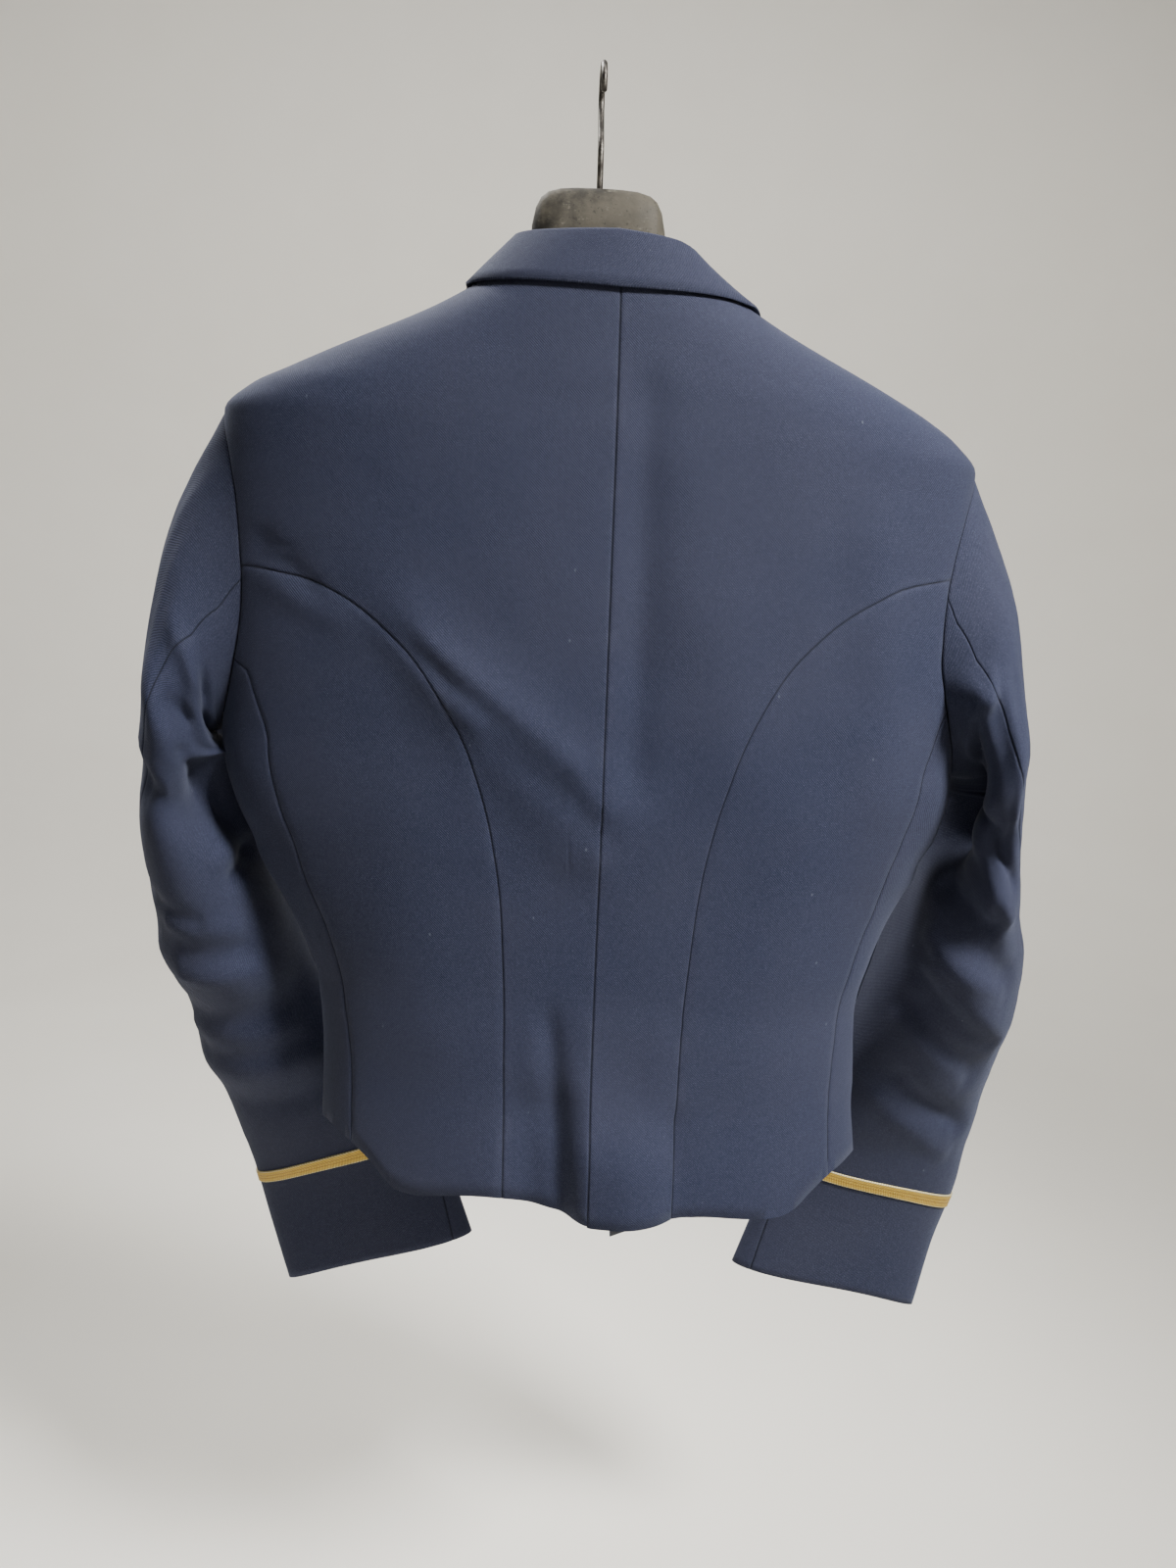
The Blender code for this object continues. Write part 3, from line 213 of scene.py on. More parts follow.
# The same in the sleeves: both ends as (turn, t), width as a share of the ring, height.
SLEEVE_FOLDS = {
    LEFT: (
        (0.2, 0.2, 0.42, 0.27, 0.045, 5), (0.19, 0.3, 0.36, 0.34, 0.05, -7),
        (0.1, 0.52, 0.34, 0.56, 0.045, 4), (0.08, 0.6, 0.4, 0.62, 0.045, -4),
        (0.06, 0.68, 0.42, 0.7, 0.045, 4), (0.62, 0.46, 0.9, 0.52, 0.05, -5),
        (0.66, 0.6, 0.92, 0.58, 0.05, 4),
    ),
    RIGHT: (
        (0.21, 0.2, 0.42, 0.25, 0.045, 6), (0.25, 0.3, 0.4, 0.36, 0.055, -9),
        (0.33, 0.4, 0.19, 0.48, 0.045, -6), (0.34, 0.47, 0.16, 0.57, 0.045, 4),
        (0.35, 0.55, 0.19, 0.63, 0.045, -5), (0.35, 0.66, 0.17, 0.72, 0.05, -3),
        (0.62, 0.46, 0.9, 0.52, 0.05, -5), (0.66, 0.62, 0.92, 0.6, 0.05, 4),
    ),
}
SLEEVE_CREASES = {
    LEFT: (
        (0.27, 0.195, 0.34, 0.175, 0.022, -4), (0.37, 0.095, 0.52, 0.15, 0.03, -7),
        (0.33, 0.13, 0.46, 0.25, 0.03, 5.5), (0.46, 0.26, 0.5, 0.42, 0.032, 8),
        (0.54, 0.2, 0.6, 0.3, 0.045, -14), (0.58, 0.3, 0.575, 0.44, 0.04, -15),
        (0.34, 0.245, 0.42, 0.33, 0.03, -6), (0.25, 0.125, 0.38, 0.1, 0.028, 3.8),
        (0.4, 0.31, 0.47, 0.42, 0.045, -7), (0.14, 0.26, 0.28, 0.3, 0.022, 2.4),
        (0.38, 0.436, 0.47, 0.424, 0.014, -3.6), (0.36, 0.41, 0.47, 0.398, 0.018, 2.4),
        (0.1, 0.43, 0.26, 0.47, 0.02, -2.4), (0.18, 0.47, 0.34, 0.49, 0.02, 2.6),
        (0.2, 0.505, 0.34, 0.52, 0.016, -2), (0.18, 0.535, 0.34, 0.545, 0.018, 2.4),
        (0.1, 0.625, 0.36, 0.645, 0.022, 2.2), (0.12, 0.66, 0.36, 0.68, 0.02, -2),
        (0.14, 0.74, 0.36, 0.76, 0.026, -1.6), (0.7, 0.48, 0.92, 0.545, 0.02, -3.6),
        (0.66, 0.54, 0.88, 0.59, 0.02, 3), (0.72, 0.6, 0.9, 0.57, 0.018, -2.6),
        (0.68, 0.38, 0.94, 0.45, 0.024, 2.8), (0.62, 0.18, 0.78, 0.3, 0.028, -4.5),
        (0.7, 0.15, 0.84, 0.31, 0.024, 3), (0.92, 0.33, 1.06, 0.42, 0.026, -2.4),
        (0.84, 0.66, 1.04, 0.62, 0.022, 2.2), (0.66, 0.7, 0.9, 0.74, 0.024, -2.2),
    ),
    RIGHT: (
        (0.28, 0.095, 0.37, 0.05, 0.024, 5), (0.37, 0.09, 0.4, 0.25, 0.034, -12),
        (0.445, 0.03, 0.455, 0.32, 0.05, -27), (0.325, 0.01, 0.285, 0.1, 0.024, 7),
        (0.25, 0.12, 0.235, 0.26, 0.022, 2.6), (0.46, 0.225, 0.19, 0.348, 0.022, -5.5),
        (0.44, 0.285, 0.2, 0.395, 0.022, 3.6), (0.42, 0.385, 0.25, 0.412, 0.018, -5),
        (0.4, 0.345, 0.28, 0.378, 0.018, 2.4), (0.4, 0.44, 0.2, 0.5, 0.022, 3),
        (0.38, 0.5, 0.18, 0.58, 0.02, -3), (0.38, 0.57, 0.2, 0.64, 0.022, 2.6),
        (0.32, 0.655, 0.13, 0.74, 0.02, -2.8), (0.34, 0.7, 0.16, 0.78, 0.024, 1.8),
        (0.58, 0.44, 0.57, 0.62, 0.045, 6), (0.68, 0.5, 0.9, 0.53, 0.021, -3.4),
        (0.7, 0.57, 0.9, 0.555, 0.019, 3), (0.66, 0.61, 0.86, 0.65, 0.02, -2.6),
        (0.72, 0.4, 0.94, 0.47, 0.023, 2.8), (0.64, 0.17, 0.8, 0.33, 0.028, -4.5),
        (0.72, 0.14, 0.86, 0.28, 0.024, 3), (0.9, 0.3, 1.05, 0.38, 0.026, -2.4),
        (0.82, 0.69, 1.04, 0.64, 0.022, 2.2), (0.64, 0.74, 0.88, 0.76, 0.024, -2),
    ),
}
SLEEVE_STRETCH = 1.6     # of t against turn, so that a ridge is about as wide both ways
CREASE_START, FOLD_START = 0.07, 0.14     # creases and folds grow from the armhole's edge to this t
CREASE_END = (0.80, 0.86)                # and die away here, above the lace
# The cloth's slight unevenness, by ripples: height, length and seed, and on the sleeves their slant. The
# body's grows between the two heights given.
RIPPLE_WAVES, RIPPLE_LENGTHS, RIPPLE_LEVEL = 7, (0.75, 1.6), 4
BODY_UNEVEN, BODY_UNEVEN_Z = ((0.45, 70, 3), (0.12, 22, 5)), (-150, -210)
SLEEVE_UNEVEN = ((0.7, 60, 11, 0.6), (0.15, 20, 17, -1.0))
SLEEVE_ROUND, SLEEVE_ALONG = 55, 620     # radius and length that they are reckoned with

# The collar is turned over a fold. Along it, s runs from centre back (0) over the neck point (1) to the
# gorge (2): the stand's height and inward lean, how far it follows the front's edge, and where its fall
# ends on the body.
COLLAR_COLUMNS = ("s", "stand", "lean", "flat", "hoop", "fall_z")
COLLAR = {
    LEFT: Table(COLLAR_COLUMNS, [
        (0, 22, 19, 0, 0, -126.8), (0.5, 19.5, 28, 0, 0.5, -126.3), (0.8, 17, 31, 0, 0.8, -126),
        (1, 16, 33, 0, 1, -124.7), (1.12, 14.5, 33, 0.1, 1.13, -127), (1.28, 11.5, 33, 0.3, 1.29, -134),
        (1.46, 8, 30, 0.5, 1.45, -145), (1.64, 5.5, 26, 0.7, 1.59, -161),
        (1.82, 4, 20, 0.9, 1.69, -179), (2, 2.6, 10, 1, 1.735, -193),
    ]),
    RIGHT: Table(COLLAR_COLUMNS, [
        (0, 22, 19, 0, 0, -126.8), (0.33, 21, 25, 0, 0.33, -125.4), (0.5, 18.3, 31, 0, 0.5, -125.2),
        (0.66, 14, 40, 0, 0.66, -126), (0.8, 11.5, 53, 0, 0.8, -125), (1, 7.5, 70, 0, 1, -126.5),
        (1.12, 7, 70, 0.1, 1.13, -130.5), (1.28, 6.5, 60, 0.3, 1.29, -139),
        (1.46, 6.5, 44, 0.5, 1.45, -148), (1.64, 5.5, 26, 0.7, 1.59, -162),
        (1.82, 4, 20, 0.9, 1.69, -178), (2, 2.6, 10, 1, 1.74, -193),
    ]),
}
GORGE_SPREAD = 0.6       # how the stations between neck point and gorge are spaced
NECK_AXIS = (-2.0, 2.0)  # (x, y) that the stand leans towards
FOLD_RADIUS = 1.9        # of the middle of the cloth where it turns over
FALL_STEPS = 5
FALL_BOW, FALL_LIFT = 0.2, 1.3   # how far the fall bows out, and its end stands off the body
# The lapel turns over the front's edge from just under the collar to the waist: its reach from the edge,
# and how far it slopes down on the way.
LAPEL_END_Z, LAPEL_BELOW_COLLAR = -560.0, 0.9
LAPEL = Table(("z", "reach", "drop"), [
    (-566, 7, 2), (-500, 27, 3), (-420, 49, 4), (-340, 66, 3), (-270, 79, 2), (-230, 86, 0),
    (-202, 88, -5),
])
LAPEL_STAND, LAPEL_BOW, LAPEL_EDGE_LIFT = 2.6, 1.6, 1.5
LAPEL_FULL_BOW = 60.0    # the reach from which it bows fully

# The hanger: its neck block's top line, then the arms, which lie just under the shoulders.
BLOCK_TOP = Table(("x", "z"), [
    (0, -63), (13, -63.2), (22, -63.9), (29, -65.8), (33, -68.8), (36, -74.5), (38, -84), (38.6, -96),
    (44, -109),
])
HANGER_UNDER = Table(("x", "z"), [
    (0, -150), (60, -156), (120, -182), (170, -211), (200, -226),
])
HANGER_HALF_Y = Table(("x", "y"), [
    (0, 13), (25, 12.5), (33, 10.5), (38, 8), (46, 9), (90, 16), (150, 20), (200, 20),
])
HANGER_STEPS = 80        # for finding the shoulder's line
HANGER_PLACES = (0, 13, 22, 29, 33, 36, 38, 38.6, 44, 60, 85, 110, 135, 152, 168, 178, 184, 186)
BLOCK_REACH = 44         # the block ends here, and the arms begin
HANGER_SEAT = 1.0        # between the arms and the cloth
HANGER_CLOSES, HANGER_REACH = 168.0, 186.0
HANGER_TIP_DEPTH = 0.35  # of the arm's half depth, at the very tip
HANGER_SQUARE = 2.3
HANGER_FINE, HANGER_SIDES = 4, 48    # stations between two of those, and points round each

WIRE, WIRE_SIDES = 3.5, 24
HOOK_RADIUS = 12.0       # inside, round a rail
HOOK_TIP_ANGLE, HOOK_BACK_ANGLE, HOOK_STEPS = -14.0, 205.0, 66
HOOK_CUTS = 3            # rounds of cutting each corner at a quarter
# (y, z) of the corners that the wire is bent over from the arc's end down into the neck block, and its foot.
HOOK_BEND = ((-8.4, -27.0), (-4.2, -33.5), (-1.2, -39.0), (0.0, -44.0), (0.0, -54.0))
HOOK_FOOT = (0.0, -64.5)
# The round tip: how far each ring lies before the wire's start, and its share of the wire's radius.
HOOK_CAP = ((1.7, 0.10), (1.6, 0.45), (1.35, 0.68), (0.9, 0.88), (0.4, 0.98))

# Rows and columns of the panels.
LOWER_ROWS, NECK_COLUMNS, SHOULDER_COLUMNS = 11 * DENSE, 6 * DENSE, 7 * DENSE
FRONT_WAIST_Z = -405.0
GORGE_ROW = -6 * DENSE - 1   # of the front's rows, counted from the neck point
BACK_ROWS_SPREAD = 1.15      # of the rows at centre back, against those on the armhole
SHOULDER_SPREAD = 0.85       # below 1, the shoulder's columns widen towards the neck
RING_STEPS, SHOULDER_STEPS, SLEEVE_STEPS = 160, 90, 61     # for measuring lengths
SLEEVE_ROWS, SLEEVE_LENGTH, MEAN_WIDTH_T = 25 * DENSE, 622.0, 0.6
SLEEVE_PIECE_COLUMNS = {"under": 13 * DENSE, "top": 22 * DENSE}
LACE_COLUMNS, LACE_ROWS = 60 * DENSE, 22
STAND_ROWS, FOLD_ROWS = 8, 12
FINE = (0.0022, 0.005, 0.010)        # shares of a panel, next to a seam, that get columns of their own
GROOVE, GROOVE_WIDTH = 0.60, 0.75    # how deep and wide the cloth dips at a seam
MEETING_GAP = 0.04                   # between the pieces of one seam
EDGE_ROUND, FOLDED_ROUND = 0.55, 0.75    # how far a cut edge bulges, on panels and on collar and lapels
LEAST_CORNER = 0.4                   # keeps a rim's sharp corner from reaching far out
SEAM_FADE = 4.0                      # how far the seam's wear and the painted shade in its groove reach
FAR = 1e3                            # further than any wear or groove reaches
# Steps for directions: on the cloth in hoop, turn or t, on the body in z, along a sleeve's centre line,
# and along the armhole's edge.
NORMAL_STEP, ALONG_STEP, AXIS_STEP, EDGE_STEP = 0.004, 1.0, 0.04, 0.002


def place(x, y, z):
    """The hanging jacket's own coordinates as world ones."""
    return np.stack([x + CENTRE_X, y, z + HANG_SLOPE * x], axis=-1)


def unit(vectors):
    return vectors / np.maximum(np.linalg.norm(vectors, axis=-1, keepdims=True), 1e-12)


def power(value, exponent):
    return np.sign(value) * np.abs(value) ** exponent


def rising(value, start, end):
    """0 before start, 1 past end and straight between them."""
    return np.clip((value - start) / (end - start), 0, 1)


def running(steps, axis=-1):
    """The lengths run up to each point, given the steps between points."""
    total = np.cumsum(steps, axis=axis)
    return np.concatenate([np.zeros_like(np.take(total, [0], axis)), total], axis)


def path_of(hoop, z):
    return np.stack(np.broadcast_arrays(hoop, z), axis=1).astype(float)


def relief(folds, u, v, stretch=1.0):
    """The height that soft ridges along segments give at (u, v)."""
    total = np.zeros(np.broadcast(u, v).shape)
    for u0, v0, u1, v1, width, height in folds:
        du, dv = u1 - u0, (v1 - v0) * stretch
        ru, rv = u - u0, (v - v0) * stretch
        t = np.clip((ru * du + rv * dv) / (du * du + dv * dv), 0, 1)
        away = (ru - t * du) ** 2 + (rv - t * dv) ** 2
        total = total + height * np.exp(-away / (width * width))
    return total


def ripple(u, v, length, seed):
    """A smooth uneven height of about -1 to 1 from a few crossing waves of about this length."""
    draw = np.random.RandomState(seed)
    total = np.zeros(np.broadcast(u, v).shape)
    for _ in range(RIPPLE_WAVES):
        angle, phase = draw.uniform(0, TURN, 2)
        k = TURN / (length * draw.uniform(*RIPPLE_LENGTHS))
        total = total + np.sin(k * (u * math.cos(angle) + v * math.sin(angle)) + phase)
    return total / RIPPLE_LEVEL


def body_relief(u, z):
    """The body's folds, its finer creases, and the cloth's slight unevenness below the shoulders."""
    uneven = sum(height * ripple(u, z, length, seed) for height, length, seed in BODY_UNEVEN)
    return relief(BODY_FOLDS, u, z) + (relief(BODY_CREASES, u, z) + rising(z, *BODY_UNEVEN_Z) * uneven)


def sleeve_relief(side, turn, t):
    """The same for a sleeve, where all of it starts and ends at nothing."""
    turn = np.mod(turn, 1.0)
    around, across = np.sin(TURN * turn) * SLEEVE_ROUND, np.cos(TURN * turn) * SLEEVE_ROUND
    uneven = sum(height * ripple(around + slant * across, t * SLEEVE_ALONG, length, seed + side)
                 for height, length, seed, slant in SLEEVE_UNEVEN)
    folds, creases = (relief(rows[side], turn, t, SLEEVE_STRETCH) for rows in (SLEEVE_FOLDS, SLEEVE_CREASES))
    height = folds * rising(t, 0, FOLD_START) + (creases + uneven) * rising(t, 0, CREASE_START)
    return height * rising(t, *CREASE_END[::-1])


def ring_point(side, hoop, z):
    """(x, y) of the body's ring, without folds, and the ring's half width there."""
    half, line, exponent = BODY(side, z), BODY("side", z), 2 / BODY("square", z)
    turn = hoop * math.pi / 2
    across, along = power(np.sin(turn), exponent), power(np.cos(turn), exponent)
    depth = np.where(along > 0, BODY("back", z) - line, line - BODY("front", z))
    return half * across, line + depth * along, half


def body(side, hoop, z):
    """A point of the body's outer face."""
    hoop, z = np.broadcast_arrays(np.asarray(hoop, float), np.asarray(z, float))
    x, y, half = ring_point(side, hoop, z)
    height = body_relief(side * np.where(hoop > 1, 2 * half - x, x), z)
    turn = hoop * math.pi / 2
    return place(side * (x + height * np.sin(turn)), y + height * np.cos(turn), z)


def body_normal(side, hoop, z):
    around = body(side, hoop + NORMAL_STEP, z) - body(side, hoop - NORMAL_STEP, z)
    up = body(side, hoop, z + ALONG_STEP) - body(side, hoop, z - ALONG_STEP)
    return unit(side * np.cross(up, around))


def hoop_at(side, x, z):
    """The hoop, on the back of the ring at height z, whose distance from the centre line is x."""
    share = np.clip(x / BODY(side, z), 0, 1)
    return np.arcsin(share ** (BODY("square", z) / 2)) * 2 / math.pi


def ring_lengths(side, z, start):
    """For each z, shares of the way from the start hoop, 0 or 2, to the other, and the ring's length up to
    each."""
    share = np.linspace(0, 2, RING_STEPS + 1)
    x, y, _ = ring_point(side, share if start == 0 else start - share, np.asarray(z, float)[..., None])
    return share, running(np.hypot(np.diff(x), np.diff(y))).reshape(-1, len(share))


def reach_of(side, hoop, z, start):
    """The length along the level ring from the start hoop to this hoop."""
    hoop, z = np.broadcast_arrays(np.asarray(hoop, float), np.asarray(z, float))
    share, lengths = ring_lengths(side, z, start)
    reach = [np.interp(abs(h - start), share, row) for h, row in zip(hoop.ravel(), lengths)]
    return np.reshape(reach, hoop.shape)


def hoop_of(side, reach, z, start):
    """The hoop at this length along the level ring from the start hoop."""
    share, lengths = ring_lengths(side, z, start)
    away = np.reshape([np.interp(r, row, share) for r, row in zip(reach.ravel(), lengths)], reach.shape)
    return start + away if start == 0 else start - away


def armhole(side, turn):
    """(hoop, z) of the armhole's edge at a turn from the shoulder tip."""
    angle = TURN * np.asarray(turn, float)
    middle, half = (SHOULDER_Z + ARMHOLE_BASE_Z) / 2, (SHOULDER_Z - ARMHOLE_BASE_Z) / 2
    cut = np.where(np.sin(angle) > 0, ARMHOLE_BACK[side], ARMHOLE_FRONT)
    return 1 - cut * np.sin(angle), middle + half * np.cos(angle)


def armhole_turns(side, first, last):
    """The shared turns of the armhole's points from one named seam to another."""
    names = list(ARMHOLE_SEAMS[side])
    turns = [ARMHOLE_SEAMS[side][first]]
    for name in names[names.index(first) + 1 : names.index(last) + 1]:
        count = ARMHOLE_SEGMENTS[name] * DENSE
        start, stop = turns[-1], ARMHOLE_SEAMS[side][name]
        turns += [start + (stop - start) * (k + 1) / count for k in range(count)]
    return np.array(turns)


def armhole_path(side, first, last):
    return path_of(*armhole(side, armhole_turns(side, first, last)))


def sleeve_centre(side, t):
    x, y, z = (SLEEVE[side](name, t) for name in "xyz")
    return place(side * x, y, z)


def sleeve_ring(side, turn, t):
    """A point of the sleeve's outer face below the cap, without folds, its outward way and its axis."""
    axis = unit(sleeve_centre(side, t + AXIS_STEP) - sleeve_centre(side, t - AXIS_STEP))
    back = unit(np.cross(np.broadcast_to([side, 0.0, 0.0], axis.shape), axis) * side)
    out = unit(np.cross(axis, back) * side)
    half_x, half_y = (SLEEVE[side](name, t)[..., None] for name in ("half_x", "half_y"))
    cos, sin = np.cos(TURN * turn)[..., None], np.sin(TURN * turn)[..., None]
    centre = sleeve_centre(side, t)
    return centre + out * half_x * cos + back * half_y * sin, unit(out * cos + back * sin), axis


def sleeve(side, turn, t):
    """A point of the sleeve's outer face: the cap, which leaves the armhole's edge at its own angle and
    runs into the tube, or the tube below it, with their folds."""
    turn, t = np.broadcast_arrays(np.asarray(turn, float), np.asarray(t, float))
    low, outward, axis = sleeve_ring(side, turn, np.maximum(t, CAP_T))
    hoop, z = armhole(side, turn)
    edge, normal = body(side, hoop, z), body_normal(side, hoop, z)
    ahead, behind = (body(side, *armhole(side, turn + step)) for step in (EDGE_STEP, -EDGE_STEP))
    tangent = unit(ahead - behind)
    onward = side * np.cross(tangent, normal)
    mean, once, twice = CAP_LIFT
    lift = np.radians(mean + once * np.cos(TURN * turn) + twice * np.cos(2 * TURN * turn))[..., None]
    start = normal * np.cos(lift) + onward * np.sin(lift)
    gap = np.linalg.norm(low - edge, axis=-1, keepdims=True)
    cap = hermite(rising(t, 0, CAP_T)[..., None], edge, low, gap * start, gap * axis)
    return cap + outward * sleeve_relief(side, turn, t)[..., None]


def sleeve_normal(side, turn, t):
    turn, t = np.broadcast_arrays(np.asarray(turn, float), np.asarray(t, float))
    low, high = np.minimum(t + NORMAL_STEP, 1), np.maximum(t - NORMAL_STEP, 0)
    along = sleeve(side, turn, low) - sleeve(side, turn, high)
    around = sleeve(side, turn + NORMAL_STEP, t) - sleeve(side, turn - NORMAL_STEP, t)
    return unit(side * np.cross(along, around))


def curved_seam(side):
    """The path from the hem up to the armhole."""
    s = np.linspace(1, 0, LOWER_ROWS + 1)
    z = CURVED_SEAM(side, s)
    path = path_of(hoop_at(side, CURVED_SEAM("x", s), z), z)
    path[0, 1] = HEM(side, path[0, 0])
    path[-1] = armhole(side, ARMHOLE_SEAMS[side]["curved"])
    return path


def side_seam(side):
    """The path from the hem up to the armhole."""
    top = armhole(side, ARMHOLE_SEAMS[side]["side"])
    z = np.linspace(HEM(side, SIDE_SEAM_FOOT), top[1], LOWER_ROWS + 1)
    path = path_of(hoop_at(side, SIDE_SEAM(side, z) * BODY(side, z), z), z)
    path[-1] = top
    return path


def underarm_line(side):
    """The path up the side line from the hem to the armhole's base."""
    return path_of(1.0, np.linspace(HEM(side, 1.0), ARMHOLE_BASE_Z, LOWER_ROWS + 1))


def shoulder_seam(side):
    """The path from the neck point to the shoulder tip."""
    heights = np.linspace(NECK_Z, SHOULDER_Z, SHOULDER_STEPS)
    lengths = running(np.hypot(np.diff(BODY(side, heights)), np.diff(heights)))
    wanted = lengths[-1] * np.linspace(0, 1, SHOULDER_COLUMNS + 1) ** SHOULDER_SPREAD
    return path_of(1.0, np.interp(wanted, lengths, heights))


def back_neckline():
    """The path from centre back to the neck point."""
    hoops = np.linspace(0, 1, NECK_COLUMNS + 1)
    return path_of(hoops, NECK_BACK_Z + (NECK_Z - NECK_BACK_Z) * hoops**NECK_DIP)


def hem_line(side, first, last, count):
    hoops = np.linspace(first, last, count)
    return path_of(hoops, HEM(side, hoops))


def back_edges(side):
    """The paths of a back's bottom, top, left and right edges."""
    seam, hole = curved_seam(side), armhole_path(side, "tip", "curved")[::-1]
    top = np.concatenate([back_neckline(), shoulder_seam(side)[1:]])
    centre = NECK_BACK_Z - BACK_ROWS_SPREAD * (SHOULDER_Z - hole[:, 1])
    lower = np.linspace(HEM(side, 0.0), centre[0], LOWER_ROWS + 1)
    left = path_of(0.0, np.concatenate([lower, centre[1:]]))
    return hem_line(side, 0, seam[0, 0], len(top)), top, left, np.concatenate([seam, hole[1:]])


def front_edge(side):
    """The path up the front's edge, a place for each of the panel's rows."""
    hoop = FRONT_POINT_HOOP
    for _ in range(8):      # closes in on the point where the edge meets the hem
        foot = HEM(side, hoop)
        hoop = FRONT_EDGE(side, foot)
    rise = np.cos(TURN * armhole_turns(side, "base", "end")) * 0.5 + 0.5
    lower = np.linspace(foot, FRONT_WAIST_Z, LOWER_ROWS + 1)[:-1]
    heights = np.concatenate([lower, FRONT_WAIST_Z + (NECK_Z - FRONT_WAIST_Z) * rise])
    return path_of(FRONT_EDGE(side, heights), heights)


def edge_frame(side, path):
    """Points in the middle of the cloth along a panel's edge, the outward normals, and the directions
    square to both."""
    hoop, z = path.T
    points, normals = body(side, hoop, z), body_normal(side, hoop, z)
    away = unit(np.cross(unit(np.gradient(points, axis=0)), normals))
    return points - normals * CLOTH / 2, normals, away


def collar_stations(side):
    """Stations from centre back to the gorge on one side, at the panels' own points: the stand's foot, the
    ways up it and out of it, its height, and the fall's points."""
    neck, front = back_neckline(), front_edge(side)[GORGE_ROW:][::-1][1:]
    drops = NECK_Z - front[:, 1]
    places = np.concatenate([np.linspace(0, 1, len(neck)), 1 + (drops / drops[-1]) ** GORGE_SPREAD])
    upright = np.array([0.0, 0.0, 1.0])
    shares = np.linspace(0, 1, FALL_STEPS + 1)[1:, None]
    stations = []
    for s, point, normal, away in zip(places, *edge_frame(side, np.concatenate([neck, front]))):
        stand, lean, flat, hoop, fall_z = (COLLAR[side](name, s) for name in COLLAR_COLUMNS[1:])
        inward = -unit(np.append(point[:2] - NECK_AXIS, 0.0))
        if np.dot(away, inward + upright) < 0:
            away = -away
        free = upright * math.cos(math.radians(lean)) + inward * math.sin(math.radians(lean))
        rise = unit((1 - flat) * free + flat * away)
        outward = unit(normal - np.dot(normal, rise) * rise)
        start = point + away * (np.linalg.norm(np.cross(rise, away)) * CLOTH / 2)
        top = start + rise * stand + outward * 2 * FOLD_RADIUS
        end = body(side, hoop, fall_z) + body_normal(side, hoop, fall_z) * (CLOTH / 2 + FALL_LIFT)
        fall = top + (end - top) * shares + outward * FALL_BOW * np.sin(math.pi * shares)
        stations.append((start, rise, outward, stand, fall))
    return stations


def lapel_stations(side):
    """The same for a lapel, from the gorge down to its end."""
    rows = front_edge(side)
    gorge = rows[GORGE_ROW, 1] - LAPEL_BELOW_COLLAR
    below = rows[:GORGE_ROW][::-1]
    first = [(FRONT_EDGE(side, gorge), gorge)]
    path = np.concatenate([first, below[below[:, 1] > LAPEL_END_Z]])
    shares = np.linspace(0, 1, FALL_STEPS + 1)
    stations = []
    for (hoop, z), point, normal, away in zip(path, *edge_frame(side, path)):
        if away[0] * side > 0:
            away = -away
        wide = LAPEL("reach", z)
        heights = z - LAPEL("drop", z) * shares
        reach = reach_of(side, hoop, z, 2) + (wide + LAPEL_STAND) * shares - LAPEL_STAND
        lift = CLOTH / 2 + LAPEL_EDGE_LIFT + (2 * FOLD_RADIUS - CLOTH - LAPEL_EDGE_LIFT) * (1 - shares) ** 3
        lift += LAPEL_BOW * np.sin(math.pi * np.sqrt(shares)) * min(1.0, wide / LAPEL_FULL_BOW)
        hoops = hoop_of(side, reach, heights, 2)
        skin = body(side, hoops, heights) + body_normal(side, hoops, heights) * lift[:, None]
        stations.append((point, away, normal, LAPEL_STAND, skin[1:]))
    return stations


def hanger_stations():
    """(x, y, z, half y, half z) of the hanger's sections from the left tip to the right tip."""
    heights = np.linspace(NECK_Z, SHOULDER_Z, HANGER_STEPS)
    halves = {}
    for side in (LEFT, RIGHT):
        seat = body(side, 1.0, heights) - body_normal(side, 1.0, heights) * (CLOTH + HANGER_SEAT)
        ridge = seat[np.argsort(side * seat[:, 0])]
        halves[side] = []
        for x in HANGER_PLACES:
            if x <= BLOCK_REACH:
                y, top = 0.0, BLOCK_TOP("z", x)
            else:
                y, top = (np.interp(x, side * ridge[:, 0], ridge[:, k]) for k in (1, 2))
            under = HANGER_UNDER("z", x) + HANG_SLOPE * side * x
            closing = math.sqrt(1 - max(0.0, (x - HANGER_CLOSES) / (HANGER_REACH + 1 - HANGER_CLOSES)) ** 2)
            half_y = HANGER_HALF_Y("y", x) * (HANGER_TIP_DEPTH + (1 - HANGER_TIP_DEPTH) * closing)
            half_z = (top - under) / 2 * closing
            halves[side].append((side * x, y, top - half_z, half_y, half_z))
    return np.array(halves[LEFT][::-1] + halves[RIGHT][1:], float)


def graded(count, first, last):
    """Places from 0 to 1 with finer steps at the ends that carry a seam."""
    places = list(np.linspace(0, 1, count + 1))
    places += [p for p in FINE if first] + [1 - p for p in FINE if last]
    return np.array(sorted(set(round(p, 7) for p in places)))


def resampled(path, places):
    own = np.linspace(0, 1, len(path))
    return np.stack([np.interp(places, own, column) for column in path.T], axis=1)


def coons(bottom, top, left, right, u, v):
    """A grid between four edges of plane points, rows at v, columns at u."""
    u, v = u[None, :, None], v[:, None, None]
    ruled = (1 - v) * bottom[None] + v * top[None] + (1 - u) * left[:, None] + u * right[:, None]
    corners = (1 - u) * ((1 - v) * bottom[0] + v * top[0]) + u * ((1 - v) * bottom[-1] + v * top[-1])
    return ruled - corners


